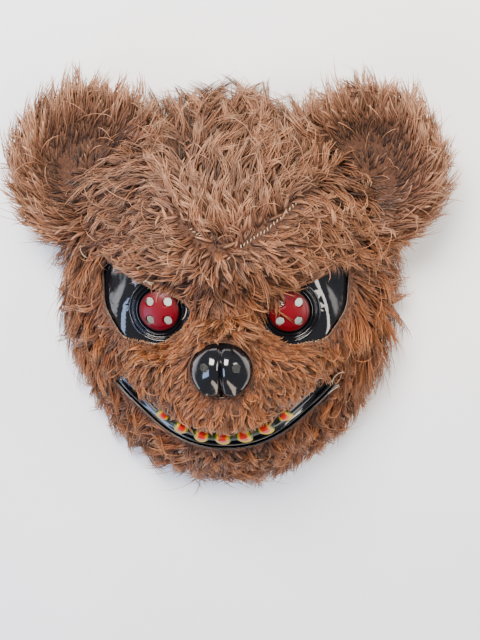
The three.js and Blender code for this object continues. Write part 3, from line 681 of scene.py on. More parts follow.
def fur_fibre():
    """Acrylic pile: satin fibres, darker towards the root as painted shade deep in the pile, paler at the
    tips, and cooler and paler on the crown, partly the pile's own tint and partly painted light from
    above.
    Real fibres are some twenty to a millimetre, too fine to show, so they are drawn as coarser streaks
    along each hair."""
    material, tree = new_material("acrylic_fur_fibre")
    place = add(tree, "ShaderNodeTexCoord").outputs["Object"]
    along = add(tree, "ShaderNodeAttribute", attribute_name="along").outputs["Fac"]
    tone = add(tree, "ShaderNodeAttribute", attribute_name="tone").outputs["Fac"]
    # The stops run dark at the root as painted shade deep in the pile; the warm stops for the lower face
    # are also darker, as painted shade there
    warm = add(
        tree,
        "ShaderNodeValToRGB",
        {"Fac": along},
        stops=[(0.0, "#201007"), (0.25, "#673a22"), (0.65, "#9a6240"), (1.0, "#c28e68")],
    ).outputs["Color"]
    cool = add(
        tree,
        "ShaderNodeValToRGB",
        {"Fac": along},
        stops=[(0.0, "#25140c"), (0.25, "#6c4632"), (0.65, "#9c7056"), (1.0, "#cfa688")],
    ).outputs["Color"]
    # Cooler and paler towards the crown: partly the pile's own tint, partly painted light from above
    height = add(tree, "ShaderNodeSeparateXYZ", {"Vector": place}).outputs["Y"]
    crown = add(
        tree,
        "ShaderNodeMapRange",
        {"Value": height, "From Min": CROWN_FROM, "From Max": CROWN_TO},
    )
    lighter_lock_share = add(
        tree,
        "ShaderNodeMapRange",
        {"Value": tone, "From Min": 0.05, "From Max": 0.35},
    )
    coolness = add(
        tree,
        "ShaderNodeMath",
        {0: crown.outputs["Result"], 1: lighter_lock_share.outputs["Result"]},
        operation="MULTIPLY",
    )
    mixed = add(
        tree,
        "ShaderNodeMix",
        {"Factor": coolness.outputs[0], "A": warm, "B": cool},
        data_type="RGBA",
    )
    shade = add(
        tree,
        "ShaderNodeMapRange",
        {"Value": tone, "From Min": 0.0, "From Max": 1.0, "To Min": 0.1, "To Max": 1.44},
    )
    strip = add(tree, "ShaderNodeAttribute", attribute_name="strip").outputs["Vector"]
    drawn = add(
        tree,
        "ShaderNodeVectorMath",
        {0: strip, 1: FIBRE_STREAKS},
        operation="MULTIPLY",
    )
    fibres = add(
        tree,
        "ShaderNodeTexNoise",
        {"Vector": drawn.outputs["Vector"], "Scale": 1.0, "Detail": 2, "Roughness": 0.6},
    )
    streak = add(
        tree,
        "ShaderNodeMapRange",
        {"Value": fibres.outputs["Fac"], "From Min": 0.3, "From Max": 0.7, "To Min": 0.68, "To Max": 1.2},
    )
    value = add(
        tree,
        "ShaderNodeMath",
        {0: shade.outputs["Result"], 1: streak.outputs["Result"]},
        operation="MULTIPLY",
    )
    toned = add(
        tree,
        "ShaderNodeHueSaturation",
        {"Color": mixed.outputs["Result"], "Value": value.outputs[0], "Saturation": 1.08},
    )
    shader = add(
        tree,
        "ShaderNodeBsdfPrincipled",
        {
            "Base Color": toned.outputs["Color"],
            "Roughness": 0.5,
            "IOR": 1.45,
            "Sheen Weight": 0.12,
            "Sheen Roughness": 0.4,
            "Sheen Tint": linear("#e8b890"),
        },
    )
    add(tree, "ShaderNodeOutputMaterial", {"Surface": shader.outputs["BSDF"]})
    return material


def fur_base():
    """The base of the pile on its knitted backing: matt and faintly streaky, painted dark brown as the
    shade deep under the fur.
    """
    material, tree = new_material("shaded_fur_base")
    place = add(tree, "ShaderNodeTexCoord").outputs["Object"]
    pile = add(
        tree,
        "ShaderNodeTexNoise",
        {"Vector": place, "Scale": grains(PILE_GRAIN), "Detail": 5, "Roughness": 0.7},
    )
    colour = add(
        tree,
        "ShaderNodeValToRGB",
        {"Fac": pile.outputs["Fac"]},
        stops=[(0.3, "#2c180d"), (0.55, "#4e2f1c"), (0.8, "#68432c")],
    ).outputs["Color"]
    bump = add(
        tree,
        "ShaderNodeBump",
        {"Strength": 0.9, "Distance": 0.0008, "Height": pile.outputs["Fac"]},
    )
    shader = add(
        tree,
        "ShaderNodeBsdfPrincipled",
        {"Base Color": colour, "Roughness": 0.95, "Normal": bump.outputs["Normal"]},
    )
    add(tree, "ShaderNodeOutputMaterial", {"Surface": shader.outputs["BSDF"]})
    return material


def cut_backing():
    """Polyester knit where the fabric is cut: matt and speckled by its loops. The knit is cream, but here
    it is darkened to brown as painted shade of the pile that stands over the edge."""
    material, tree = new_material("shaded_knit_edge")
    place = add(tree, "ShaderNodeTexCoord").outputs["Object"]
    knit = add(tree, "ShaderNodeTexVoronoi", {"Vector": place, "Scale": grains(KNIT_LOOP)})
    colour = add(
        tree,
        "ShaderNodeValToRGB",
        {"Fac": knit.outputs["Distance"]},
        stops=[(0.0, "#94806a"), (0.6, "#705a46"), (1.0, "#46362a")],
    ).outputs["Color"]
    shader = add(
        tree,
        "ShaderNodeBsdfPrincipled",
        {"Base Color": colour, "Roughness": 0.9, "Sheen Weight": 0.2},
    )
    add(tree, "ShaderNodeOutputMaterial", {"Surface": shader.outputs["BSDF"]})
    return material


def pale_thread():
    """Spun polyester sewing thread: cream and slightly fuzzy, banded by its twist."""
    material, tree = new_material("cream_sewing_thread")
    place = add(tree, "ShaderNodeTexCoord").outputs["Object"]
    twist = add(
        tree,
        "ShaderNodeTexWave",
        {"Vector": place, "Scale": stripes(THREAD_TWIST), "Distortion": 2.0, "Detail": 1},
        bands_direction="DIAGONAL",
    )
    colour = add(
        tree,
        "ShaderNodeValToRGB",
        {"Fac": twist.outputs["Fac"]},
        stops=[(0.0, "#a48e70"), (1.0, "#d4bf9e")],
    ).outputs["Color"]
    shader = add(
        tree,
        "ShaderNodeBsdfPrincipled",
        {"Base Color": colour, "Roughness": 0.65, "Sheen Weight": 0.2},
    )
    add(tree, "ShaderNodeOutputMaterial", {"Surface": shader.outputs["BSDF"]})
    return material


def elastic_webbing():
    """Black woven elastic: fine lengthwise ribs of rubber yarn under a matt weave."""
    material, tree = new_material("black_elastic_weave")
    place = add(tree, "ShaderNodeTexCoord").outputs["Object"]
    ribs = add(
        tree,
        "ShaderNodeTexWave",
        {"Vector": place, "Scale": stripes(ELASTIC_RIB), "Distortion": 0.4, "Detail": 1},
        bands_direction="Z",
    )
    weave = add(tree, "ShaderNodeTexVoronoi", {"Vector": place, "Scale": grains(ELASTIC_YARN)})
    colour = add(
        tree,
        "ShaderNodeValToRGB",
        {"Fac": ribs.outputs["Fac"]},
        stops=[(0.0, "#0e0e10"), (1.0, "#2b2b2f")],
    ).outputs["Color"]
    height = add(
        tree,
        "ShaderNodeMath",
        {0: ribs.outputs["Fac"], 1: weave.outputs["Distance"]},
        operation="ADD",
    )
    bump = add(
        tree,
        "ShaderNodeBump",
        {"Strength": 0.8, "Distance": 0.0004, "Height": height.outputs[0]},
    )
    shader = add(
        tree,
        "ShaderNodeBsdfPrincipled",
        {"Base Color": colour, "Roughness": 0.85, "Normal": bump.outputs["Normal"]},
    )
    add(tree, "ShaderNodeOutputMaterial", {"Surface": shader.outputs["BSDF"]})
    return material


def rivet_steel():
    """Nickel-plated steel: a bright metal with its gloss broken a little by handling."""
    material, tree = new_material("nickel_plated_steel")
    place = add(tree, "ShaderNodeTexCoord").outputs["Object"]
    wear = add(
        tree,
        "ShaderNodeTexNoise",
        {"Vector": place, "Scale": grains(RIVET_WEAR), "Detail": 4},
    )
    rough = add(
        tree,
        "ShaderNodeMapRange",
        {"Value": wear.outputs["Fac"], "From Min": 0.3, "From Max": 0.7, "To Min": 0.22, "To Max": 0.42},
    )
    shader = add(
        tree,
        "ShaderNodeBsdfPrincipled",
        {"Base Color": linear("#c3c4c6"), "Metallic": 1.0, "Roughness": rough.outputs["Result"]},
    )
    add(tree, "ShaderNodeOutputMaterial", {"Surface": shader.outputs["BSDF"]})
    return material


def floor_paper():
    """Matt studio paper: near white, with hardly a cloud in it."""
    material, tree = new_material("pale_studio_floor")
    place = add(tree, "ShaderNodeTexCoord").outputs["Object"]
    grain = add(
        tree,
        "ShaderNodeTexNoise",
        {"Vector": place, "Scale": grains(PAPER_CLOUD), "Detail": 3},
    )
    colour = add(
        tree,
        "ShaderNodeValToRGB",
        {"Fac": grain.outputs["Fac"]},
        stops=[(0.3, "#fbfbfa"), (0.7, "#fefefe")],
    ).outputs["Color"]
    shader = add(
        tree,
        "ShaderNodeBsdfPrincipled",
        {"Base Color": colour, "Roughness": 0.8},
    )
    add(tree, "ShaderNodeOutputMaterial", {"Surface": shader.outputs["BSDF"]})
    return material


GLOSS_BLACK = black_moulded_plastic()
BUTTON_RED = red_sprayed_plastic()
TOOTH_PAINT = tooth_sprayed_plastic()
FIBRE = fur_fibre()
FUR_BASE = fur_base()
CUT_EDGE = cut_backing()
THREAD = pale_thread()
ELASTIC = elastic_webbing()
RIVET = rivet_steel()


# Camera, floor and lights


def look_from(target, direction, distance):
    """A world matrix that looks at target from some direction, with +Y up in the picture."""
    back = Vector(direction).normalized()
    across = Vector((0, 1, 0)).cross(back).normalized()
    up = back.cross(across)
    turned = Matrix((across, up, back)).transposed().to_4x4()
    return Matrix.Translation(Vector(target) + distance * back) @ turned


def make_camera():
    direction = (math.tan(CAMERA_RIGHT), math.tan(CAMERA_UP), 1)
    bpy.ops.object.camera_add()
    camera = bpy.context.object
    camera.matrix_world = look_from(metres(CAMERA_TARGET), direction, CAMERA_DISTANCE)
    camera.data.lens = CAMERA_LENS
    camera.data.sensor_width = CAMERA_SENSOR
    bpy.context.scene.camera = camera


def make_floor():
    bpy.ops.mesh.primitive_plane_add(size=FLOOR_SIZE)
    floor = started("studio_floor")
    floor.data.materials.append(floor_paper())


def make_light(name, target, direction, distance, size, power, colour, spread=180):
    bpy.ops.object.light_add(type="AREA")
    light = bpy.context.object
    light.name = name
    light.data.shape = "RECTANGLE"
    light.data.size, light.data.size_y = size
    light.data.energy = power
    light.data.color = linear(colour)[:3]
    light.data.spread = math.radians(spread)
    light.matrix_world = look_from(metres(target), direction, distance)


def make_lights():
    for name, (direction, distance, size, power, colour) in STUDIO_LIGHTS.items():
        make_light(name, LIGHT_TARGET, direction, distance, size, power, colour)
    # Weak glows behind the face, so that its holes read pale
    upwards = (0, 0, 1)
    for side in (-1, 1):
        spot = (side * EYE_SPACING / 2, 4, 34)
        make_light("glow_under_an_eye", spot, upwards, 0, (0.03, 0.03), 0.006, "#eef0e0", 70)
    spot = (0, NOSE_Y, 60)
    make_light("glow_in_the_nose", spot, upwards, 0, (0.02, 0.01), 0.0016, "#f2f2e8", 90)
    world = bpy.data.worlds.new("soft_room")
    world.use_nodes = True
    background = world.node_tree.nodes["Background"]
    background.inputs["Color"].default_value = linear(ROOM_COLOUR)
    background.inputs["Strength"].default_value = ROOM_STRENGTH
    bpy.context.scene.world = world


# Shell, sockets, buttons and teeth


def eye_frame(side):
    turn = Matrix.Rotation(side * EYE_SPLAY, 4, "Y")
    return Matrix.Translation((side * EYE_SPACING / 2, 0, EYE_HEIGHT)) @ turn


FACE_SPOKES = 160
RING_PARTS = [14, 18, 26, 34]  # rings on the nose, muzzle, groove and lip, and out to the rim
NOSE_RING_REACH = 16.5
PLAIN_RING_SHARES = (0.2, 0.45)  # where the inner parts end above the mouth
MOUTH_RING_FADE = math.radians(40)
RIM_RING_CROWDING = 1.9


def ring_reaches(angle):
    """Reaches of the face's rings on each ray: an array of rays by rings."""
    lip = mouth_reach(angle)
    rim = rim_reach(angle)
    nose = np.full_like(angle, NOSE_RING_REACH)
    groove = lip - 2 * LIP_HALF - 2 * GROOVE_HALF
    below = MOUTH_TIP_ANGLE + MOUTH_FADE - np.arcsin(np.sin(angle))
    mouth = smooth(1 + below / MOUTH_RING_FADE)
    plain = [nose + share * (rim - nose) for share in PLAIN_RING_SHARES]
    inner = plain[0] + mouth * (groove - plain[0])
    outer = plain[1] + mouth * (lip - plain[1])
    marks = [np.zeros_like(angle), nose, inner, outer, rim]
    rows = [marks[0]]
    for part, count in enumerate(RING_PARTS):
        for step in range(1, count + 1):
            share = step / count
            if part == len(RING_PARTS) - 1:
                share = 1 - (1 - share) ** RIM_RING_CROWDING
            rows.append(marks[part] + share * (marks[part + 1] - marks[part]))
    return np.stack(rows, -1)


def nose_carving(x, y):
    """Turns the face's plain nose into two full lobes with a furrow between them."""
    across = x / (NOSE_WIDTH / 2)
    along = (y - NOSE_Y) / (NOSE_LENGTH / 2)
    plain = NOSE_RISE * (1 - clamp01(np.hypot(across, along) / NOSE_SPREAD) ** NOSE_FULLNESS)
    aside = (np.abs(across) - LOBE_PLACE) / LOBE_REACH
    lobe = np.sqrt(clamp01(1 - aside**2 - (along / LOBE_LENGTH) ** 2))
    carved = LOBE_FOOT + LOBE_RISE * lobe
    furrow = FURROW_DEPTH * np.exp(-((x / FURROW_HALF) ** 2)) * smooth(0.8 - along)
    inside = smooth((1.04 - np.hypot(across, along)) / 0.07)
    return inside * (carved - plain - furrow)


def face_sheet(name, spokes, height, carved=False):
    """A disc that follows the face at some height over the shell, down to the floor."""
    rings = sum(RING_PARTS)
    bpy.ops.mesh.primitive_grid_add(x_subdivisions=spokes, y_subdivisions=rings, size=1)
    piece = started(name)
    flat = coordinates(piece)
    spoke = np.rint((flat[:, 0] + 0.5) * spokes).astype(int)
    ring = np.rint((flat[:, 1] + 0.5) * rings).astype(int)
    angles = 2 * np.pi * np.arange(spokes) / spokes
    reaches = ring_reaches(angles)
    reach = reaches[spoke % spokes, ring]
    angle = angles[spoke % spokes]
    x, y = reach * np.cos(angle), NOSE_Y + reach * np.sin(angle)
    points = over_face(x, y, np.full(len(x), float(height)))
    if carved:
        points[:, 2] += nose_carving(x, y)
    points[ring == rings, 2] = 0
    set_coordinates(piece, points)
    edit(piece, lambda: bpy.ops.mesh.remove_doubles(threshold=1e-4), face_outwards)
    if sum(p.normal.z for p in piece.data.polygons) < 0:
        edit(piece, lambda: bpy.ops.mesh.flip_normals())
    return piece


def face_wall(name, spokes, low, high, carved=False):
    """A closed wall that follows the face between two heights over the shell."""
    piece = face_sheet(name, spokes, high, carved)
    modify(piece, "SOLIDIFY", thickness=high - low, offset=-1, use_even_offset=True, thickness_clamp=1)
    points = coordinates(piece)
    points[:, 2] = np.where(points[:, 2] < 0.3, 0, points[:, 2])
    set_coordinates(piece, points)
    return piece


def rounded(corners, rounds=3, cut=0.12):
    """A closed outline with its corners cut back again and again, so that they are round."""
    points = np.array(corners, float)
    for _ in range(rounds):
        after = np.roll(points, -1, axis=0)
        pair = [points + cut * (after - points), after + cut * (points - after)]
        points = np.stack(pair, 1).reshape(-1, 2)
    return points


def eye_outline(side):
    half = EYE_SPACING / 2
    return rounded([(side * half * (1 + p["out"]), half * p["up"]) for p in EYE_CUTOUT])


def mouth_outline():
    lower = np.linspace(MOUTH_HALF_WIDTH, -MOUTH_HALF_WIDTH, 49)
    upper = np.linspace(-MOUTH_OPEN_HALF_WIDTH, MOUTH_OPEN_HALF_WIDTH, 41)
    corners = [*zip(lower, lip_y(lower)), *zip(upper, open_y(upper))]
    return np.array(corners)


def nose_outline():
    turn = 2 * np.pi * np.arange(64) / 64
    reach_x, reach_y = NOSE_WIDTH / 2 + 0.5, NOSE_LENGTH / 2 + 0.5
    return np.stack([reach_x * np.cos(turn), NOSE_Y + reach_y * np.sin(turn)], -1)


OUTLINES = {
    "left_eye": eye_outline(-1),
    "right_eye": eye_outline(1),
    "mouth": mouth_outline(),
    "nose": nose_outline(),
}


def outline_distance(x, y, outline):
    """Distance from an outline, negative inside it."""
    point = np.stack([x, y], -1)[:, None]
    start, end = outline[None], np.roll(outline, -1, axis=0)[None]
    edge = end - start
    share = clamp01(((point - start) * edge).sum(-1) / (edge**2).sum(-1))
    gap = np.linalg.norm(point - start - share[..., None] * edge, axis=-1).min(1)
    crosses = (start[..., 1] > point[..., 1]) != (end[..., 1] > point[..., 1])
    slope = edge[..., 0] / np.where(edge[..., 1] == 0, 1e-9, edge[..., 1])
    right = point[..., 0] < start[..., 0] + slope * (point[..., 1] - start[..., 1])
    inside = (crosses & right).sum(1) % 2 == 1
    return np.where(inside, -gap, gap)


def nearest_outline(x, y):
    return np.min([outline_distance(x, y, outline) for outline in OUTLINES.values()], axis=0)


def socket_profile():
    """Three soft rings, lower and lower outwards, round the button's seat."""
    radii = np.linspace(BUTTON_BORE, SOCKET_OUTSIDE, 40)
    ridge = 0.5 - 0.5 * np.cos(2 * np.pi * (radii - BUTTON_BORE) / SOCKET_RING_GAP)
    rise = np.interp(radii, [BUTTON_BORE, SOCKET_OUTSIDE], SOCKET_RING_RISE)
    heights = SOCKET_FLOOR + ridge * rise
    top = list(zip(radii, heights))
    inner = BUTTON_BORE - SOCKET_LEDGE
    seat = [(BUTTON_BORE, -SOCKET_LEDGE), (inner, -SOCKET_LEDGE), (inner, -SOCKET_DEPTH)]
    return [*reversed(top), *seat, (SOCKET_OUTSIDE, -SOCKET_DEPTH)]


def drill(name, diameter, place, depth=8 * OVERCUT, sides=48):
    bpy.ops.mesh.primitive_cylinder_add(vertices=sides, radius=diameter / 2, depth=depth)
    tool = started(name)
    tool.data.transform(place)
    return tool


def make_shell():
    shell = face_wall("face_shell_gloss", FACE_SPOKES, -SHELL_WALL, 0, carved=True)
    for side in (-1, 1):
        place = eye_frame(side)
        combine(shell, drill("eye_drill", 2 * SOCKET_RADIUS, place, sides=96), "DIFFERENCE")
        combine(shell, spun("socket", socket_profile(), 96, place), "UNION")
        x = side * NOSTRIL_SPACING / 2
        nostril = Matrix.Translation(spot_over_face(x, NOSTRIL_Y))
        combine(shell, drill("nostril_drill", NOSTRIL_DIAMETER, nostril, 12, 32), "DIFFERENCE")
    smooth_shaded(shell, 50)
    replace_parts(finished(shell, GLOSS_BLACK), "face_shell")


def button_profile():
    """A thin dome with a soft shoulder, an upright edge and a hollow back."""
    radius, inner = BUTTON_DIAMETER / 2, BUTTON_DIAMETER / 2 - BUTTON_THICKNESS
    turns = np.linspace(0, np.pi / 2, 22)

    def groove(out):
        aside = (out - BUTTON_GROOVE_RADIUS) / BUTTON_GROOVE_HALF
        return BUTTON_GROOVE_DEPTH * math.exp(-(aside**2))

    outer = []
    for turn in turns:
        out = radius * math.sin(turn)
        outer.append((out, BUTTON_RISE * math.cos(turn) - groove(out)))
    under = [(inner * math.sin(t), BUTTON_RISE * math.cos(t) - BUTTON_THICKNESS) for t in turns]
    edge = [(radius, -BUTTON_THICKNESS + 0.4), (radius - 0.4, -BUTTON_THICKNESS)]
    return [*outer, *edge, *reversed(under)]


def make_button(side, name, node):
    seat = Matrix.Translation((0, 0, BUTTON_THICKNESS + SEAT_GAP - SOCKET_LEDGE))
    button = spun(name, button_profile(), 72, Matrix.Identity(4))
    wide = BUTTON_HOLE_DIAMETER / 2
    top = BUTTON_RISE * 0.8
    flare = [
        (0, -8),
        (wide, -8),
        (wide, top - 0.5),
        (wide + 0.25, top - 0.1),
        (wide + 1.2, top + 1),
        (0, 4),
    ]
    for across in (-0.5, 0.5):
        for along in (-0.5, 0.5):
            spot = (across * BUTTON_HOLE_SPACING, along * BUTTON_HOLE_SPACING, 0)
            hole = spun("button_hole", flare, 32, Matrix.Translation(spot))
            combine(button, hole, "DIFFERENCE")
    points = coordinates(button)
    from_middle = np.hypot(points[:, 0], points[:, 1]) / (BUTTON_DIAMETER / 2)
    set_attribute(button, "from_middle", from_middle)
    button.data.transform(eye_frame(side) @ seat)
    smooth_shaded(button, 45)
    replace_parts(finished(button, BUTTON_RED), node)


def inside_lip(angle, distance):
    reach = mouth_reach(angle) - distance
    return reach * np.cos(angle), NOSE_Y + reach * np.sin(angle)


def groove_edge_height(angle):
    return face_height(*inside_lip(angle, 2 * (LIP_HALF + GROOVE_HALF)))


def rod(name, sections):
    """A closed rod through sections that all have the same count of points."""
    sections = np.asarray(sections, float)
    rows, count = sections.shape[:2]
    faces = []
    for row in range(rows - 1):
        for k in range(count):
            a, b = row * count + k, row * count + (k + 1) % count
            faces += [(a, b, b + count), (a, b + count, a + count)]
    last = (rows - 1) * count
    for k in range(1, count - 1):
        faces += [(0, k + 1, k), (last, last + k, last + k + 1)]
    piece = piece_from(name, sections.reshape(-1, 3), np.array(faces))
    edit(piece, face_outwards)
    return piece


def make_gum():
    sections = []
    for angle in np.linspace(-np.pi / 2 - GUM_TURN, -np.pi / 2 + GUM_TURN, 60):
        base = groove_edge_height(angle)
        far, near = inside_lip(angle, GUM_FAR), inside_lip(angle, GUM_NEAR)
        middle = [(f + n) / 2 for f, n in zip(far, near)]
        sections.append(
            [
                (*far, base - GUM_SINK),
                (*near, base - 2 * GUM_SINK),
                (*near, base - 1.8 * GUM_SINK),
                (*middle, base - 0.8 * GUM_SINK),
                (*far, base),
            ]
        )
    gum = rod("gum", sections)
    set_attribute(gum, "from_spot", np.full(len(gum.data.vertices), 1.0))
    set_attribute(gum, "aside", np.full(len(gum.data.vertices), 1.0))
    return gum


def make_tooth(tooth, side):
    """A blunt peg that hangs from the gum over the groove."""
    x = side * tooth["along"] * MOUTH_HALF_WIDTH
    angle = math.atan2(lip_y(x) - NOSE_Y, x)
    tip = inside_lip(angle, tooth["tip"])
    root_height = groove_edge_height(angle) + 0.5 * GUM_RISE
    root = Vector((*inside_lip(angle, GUM_FAR - GUM_SLOPE), root_height))
    end = Vector((*tip, face_height(*tip) + 0.85 * TOOTH_THICKNESS))
    along = (end - root).normalized()
    across = Vector((-math.sin(angle), math.cos(angle), 0))
    bpy.ops.mesh.primitive_cube_add(size=1)
    peg = started("tooth")
    edit(peg, lambda: bpy.ops.mesh.subdivide(number_cuts=2))
    flat = coordinates(peg)
    share = flat[:, 2] + 0.5
    width = tooth["wide"] * (1 - 0.4 * share**2.4)
    thick = 1.35 * TOOTH_THICKNESS * (1 - 0.35 * share)
    squash = np.sqrt(1 - (1.7 * flat[:, 0]) ** 2)
    reach = (end - root).length
    local = np.stack([flat[:, 0] * width, flat[:, 1] * thick * squash, share * reach], -1)
    set_coordinates(peg, local)
    modify(peg, "SUBSURF", levels=2, render_levels=2)
    points = coordinates(peg)
    share = points[:, 2] / reach
    aside = 2 * np.abs(points[:, 0]) / tooth["wide"]
    from_spot = np.hypot((share - SPOT_PLACE) / SPOT_LENGTH, SPOT_NARROWNESS * aside)
    set_attribute(peg, "from_spot", from_spot)
    set_attribute(peg, "aside", aside)
    turned = Matrix((across, along.cross(across), along)).transposed().to_4x4()
    peg.data.transform(Matrix.Translation(root) @ turned)
    return peg


def make_teeth():
    parts = [make_gum()]
    for tooth in TOOTH_ROW:
        for side in (-1, 1) if tooth["along"] else (1,):
            parts.append(make_tooth(tooth, side))
    teeth = join("teeth_painted", parts)
    edit(teeth, face_outwards)
    smooth_shaded(teeth, 60)
    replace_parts(finished(teeth, TOOTH_PAINT), "teeth")


# Fur cover and ears


def make_backing():
    cover = face_wall("fur_backing", FACE_SPOKES // 2, SEAT_GAP, COVER_TOP)
    cover.data.materials.append(FUR_BASE)
    for name, outline in OUTLINES.items():
        tool = prism(name + "_cutter", outline, SHELL_DEPTH / 4, 3 * SHELL_DEPTH)
        tool.data.materials.append(CUT_EDGE)
        combine(cover, tool, "DIFFERENCE")
    wide = 2 * SHELL_HALF_HEIGHT
    square = [(-wide, -wide), (wide, -wide), (wide, wide), (-wide, wide)]
    hem = prism("hem_cutter", square, -9, HEM_LIFT)
    hem.data.materials.append(CUT_EDGE)
    combine(cover, hem, "DIFFERENCE")
    smooth_shaded(cover, 50)
    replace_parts(finished(cover, None), "fur_cover")


def ear_frame(side):
    x, y, z = EAR_CENTRE
    return Matrix.Translation((side * x, y, z)) @ Matrix.Rotation(-side * EAR_TILT, 4, "Y")


def ear_profile():
    """From the middle of the back round the rim to the middle of the dish."""
    half = EAR_THICKNESS / 2
    dish = half - EAR_RIM_RISE
    corners = [
        (0, -half),
        (0.55, -half),
        (0.85, -0.8 * half),
        (0.97, -0.4 * half),
        (1, 0.1 * half),
        (0.96, 0.7 * half),
        (0.84, half),
        (0.66, (half + dish) / 2),
        (0.4, dish + 0.5),
        (0, dish),
    ]
    return np.array([(EAR_RADIUS * share, height) for share, height in corners])


def make_ear(side, name, node):
    head = face_sheet("head_form", 96, COVER_TOP + SEAT_GAP)
    activate(head)
    bpy.ops.object.mode_set(mode="EDIT")
    bpy.ops.mesh.select_all(action="DESELECT")
    bpy.ops.mesh.select_mode(type="EDGE")
    bpy.ops.mesh.select_non_manifold(extend=False)
    bpy.ops.mesh.extrude_region_move(TRANSFORM_OT_translate={"value": (0, 0, -OVERCUT)})
    bpy.ops.mesh.edge_face_add()
    bpy.ops.object.mode_set(mode="OBJECT")
    edit(head, face_outwards)
    ear = spun(name, ear_profile(), 72, ear_frame(side))
    modify(ear, "SUBSURF", levels=1, render_levels=1)
    combine(ear, head, "DIFFERENCE")
    smooth_shaded(ear, 60)
    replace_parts(finished(ear, FUR_BASE), node)


# Fur: a dense undercoat of wisps, locks of strands over it, and stray curls

# How the fur is combed: at (x, y) towards some degrees from +X, and how long it is.
CROWN_STROKES = [
    (-72, 72, 150, 22),
    (-48, 92, 128, 27),
    (-20, 98, 106, 29),
    (0, 98, 90, 29),
    (22, 98, 80, 29),
    (48, 92, 60, 27),
    (72, 75, 40, 22),
    (-45, 66, 138, 23),
    (-25, 54, 124, 22),
    (-8, 41, 104, 18),
    (8, 41, 76, 18),
    (25, 54, 62, 21),
    (45, 66, 48, 23),
    (0, 70, 92, 26),
    (-25, 78, 116, 27),
    (25, 78, 68, 27),
]
# The right half below the seam; the left half mirrors it.
FACE_STROKES = [
    (0, 28, -90, 15),
    (0, 8, -90, 18),
    (0, -6, -90, 13),
    (9, 30, -55, 16),
    (12, 12, -62, 17),
    (28, 40, -12, 18),
    (50, 52, -4, 21),
    (68, 50, -16, 22),
    (26, 24, -18, 16),
    (50, 30, -12, 17),
    (74, 25, -38, 26),
    (78, 0, -46, 29),
    (70, -20, -53, 26),
    (45, -22, -66, 13),
    (20, -12, -82, 10),
    (19, -30, -52, 10),
    (12, -43, -80, 11),
    (0, -44, -90, 11),
    (30, -38, -50, 12),
    (46, -30, -46, 12),
    (72, -45, -50, 21),
    (58, -68, -54, 20),
    (35, -82, -68, 20),
    (12, -88, -86, 23),
    (0, -98, -90, 24),
    (60, -84, -50, 20),
]


def seam_y(x):
    """A rounded V, lowest between the brows."""
    apex_x, apex_y = SEAM_APEX
    return apex_y + SEAM_SLOPE * (np.hypot(x - apex_x, SEAM_ROUND) - SEAM_ROUND)


STROKE_SOFTNESS = 9
STROKE_FALL = 1.6


def blended(strokes, x, y):
    """Heading and length at each point, weighted towards the nearest strokes."""
    table = np.array(strokes, float)
    gap = (x[:, None] - table[:, 0]) ** 2 + (y[:, None] - table[:, 1]) ** 2
    weight = (gap + STROKE_SOFTNESS) ** -STROKE_FALL
    weight /= weight.sum(1, keepdims=True)
    turn = np.radians(table[:, 2])
    heading = np.arctan2(weight @ np.sin(turn), weight @ np.cos(turn))
    return heading, weight @ table[:, 3]


def combing(x, y):
    """The pile's heading and length at each point, with the slow waves of rumpled pile."""
    above = y > seam_y(x)
    crown_heading, crown_length = blended(CROWN_STROKES, x, y)
    face_heading, face_length = blended(FACE_STROKES, np.abs(x), y)
    face_heading = np.where(x < 0, np.pi - face_heading, face_heading)
    heading = np.where(above, crown_heading, face_heading)
    swirl = 0.28 * np.sin(x / 11 + 1.3 * np.sin(y / 17)) + 0.22 * np.sin(y / 8 + x / 19 + 2)
    return heading + swirl, np.where(above, crown_length, face_length)


def thinned(points, gaps):
    """Indexes of points that keep their gap to every point kept before them."""
    tree = KDTree(len(points))
    for index, point in enumerate(points):
        tree.insert(point, index)
    tree.balance()
    gone = np.zeros(len(points), bool)
    for index, point in enumerate(points):
        if gone[index]:
            continue
        for _, other, _ in tree.find_range(point, gaps[index]):
            if other > index:
                gone[other] = True
    return np.flatnonzero(~gone)


def unit(vectors):
    return vectors / np.maximum(np.linalg.norm(vectors, axis=-1, keepdims=True), 1e-9)


# Cross-sections of a hair, as shares (across, up) of its width, and its width from ring to ring.
STRAND = ([(-0.5, 0), (0.5, 0), (0, 0.5)], [0.85, 1.0, 0.86, 0.6])
STRAY = ([(-0.5, 0), (0.5, 0), (0, 0.6)], [1.0, 1.0, 1.0, 0.9, 0.7])
WISP = ([(-0.5, 0), (0, -0.12), (0.5, 0), (0, 0.26)], [0.7, 1.0, 0.85, 0.5])
STRANDS_PER_LOCK = 11
LOWEST_HAIR = 0.7  # hairs that would reach lower lie along the floor at this height

# How roots are spread: spots tried, millimetres between roots, and on the face how clear they
# stay of a cut-out's edge and of the parted seam
LOCK_ROOTS = {"tries": 42000, "spacing": 3.2, "edge": 0.5, "seam": 0.7}
WISP_ROOTS = {"tries": 90000, "spacing": 2.15, "edge": 0.15, "seam": 0.35}
EAR_LOCK_ROOTS = {"tries": 12000, "spacing": 3.1}
EAR_WISP_ROOTS = {"tries": 26000, "spacing": 2.3}
ROOT_MARGIN = 6  # how far past the shell's half width spots are tried
ROOT_RIM_SHARE = 0.992
ROOT_SINK = 0.4
STEEPEST = 0.12  # the least upward share of a normal that still adds roots
MOST_ROOTS = 6  # how many times denser than on a level place roots may be tried on a slope
STRAYS_ON_THE_FACE = 520
STRAYS_ON_AN_EAR = 70
FACE_SEED = 7
EDGE_SEED = 11
THREAD_SEED = 23
EAR_SEED = 40


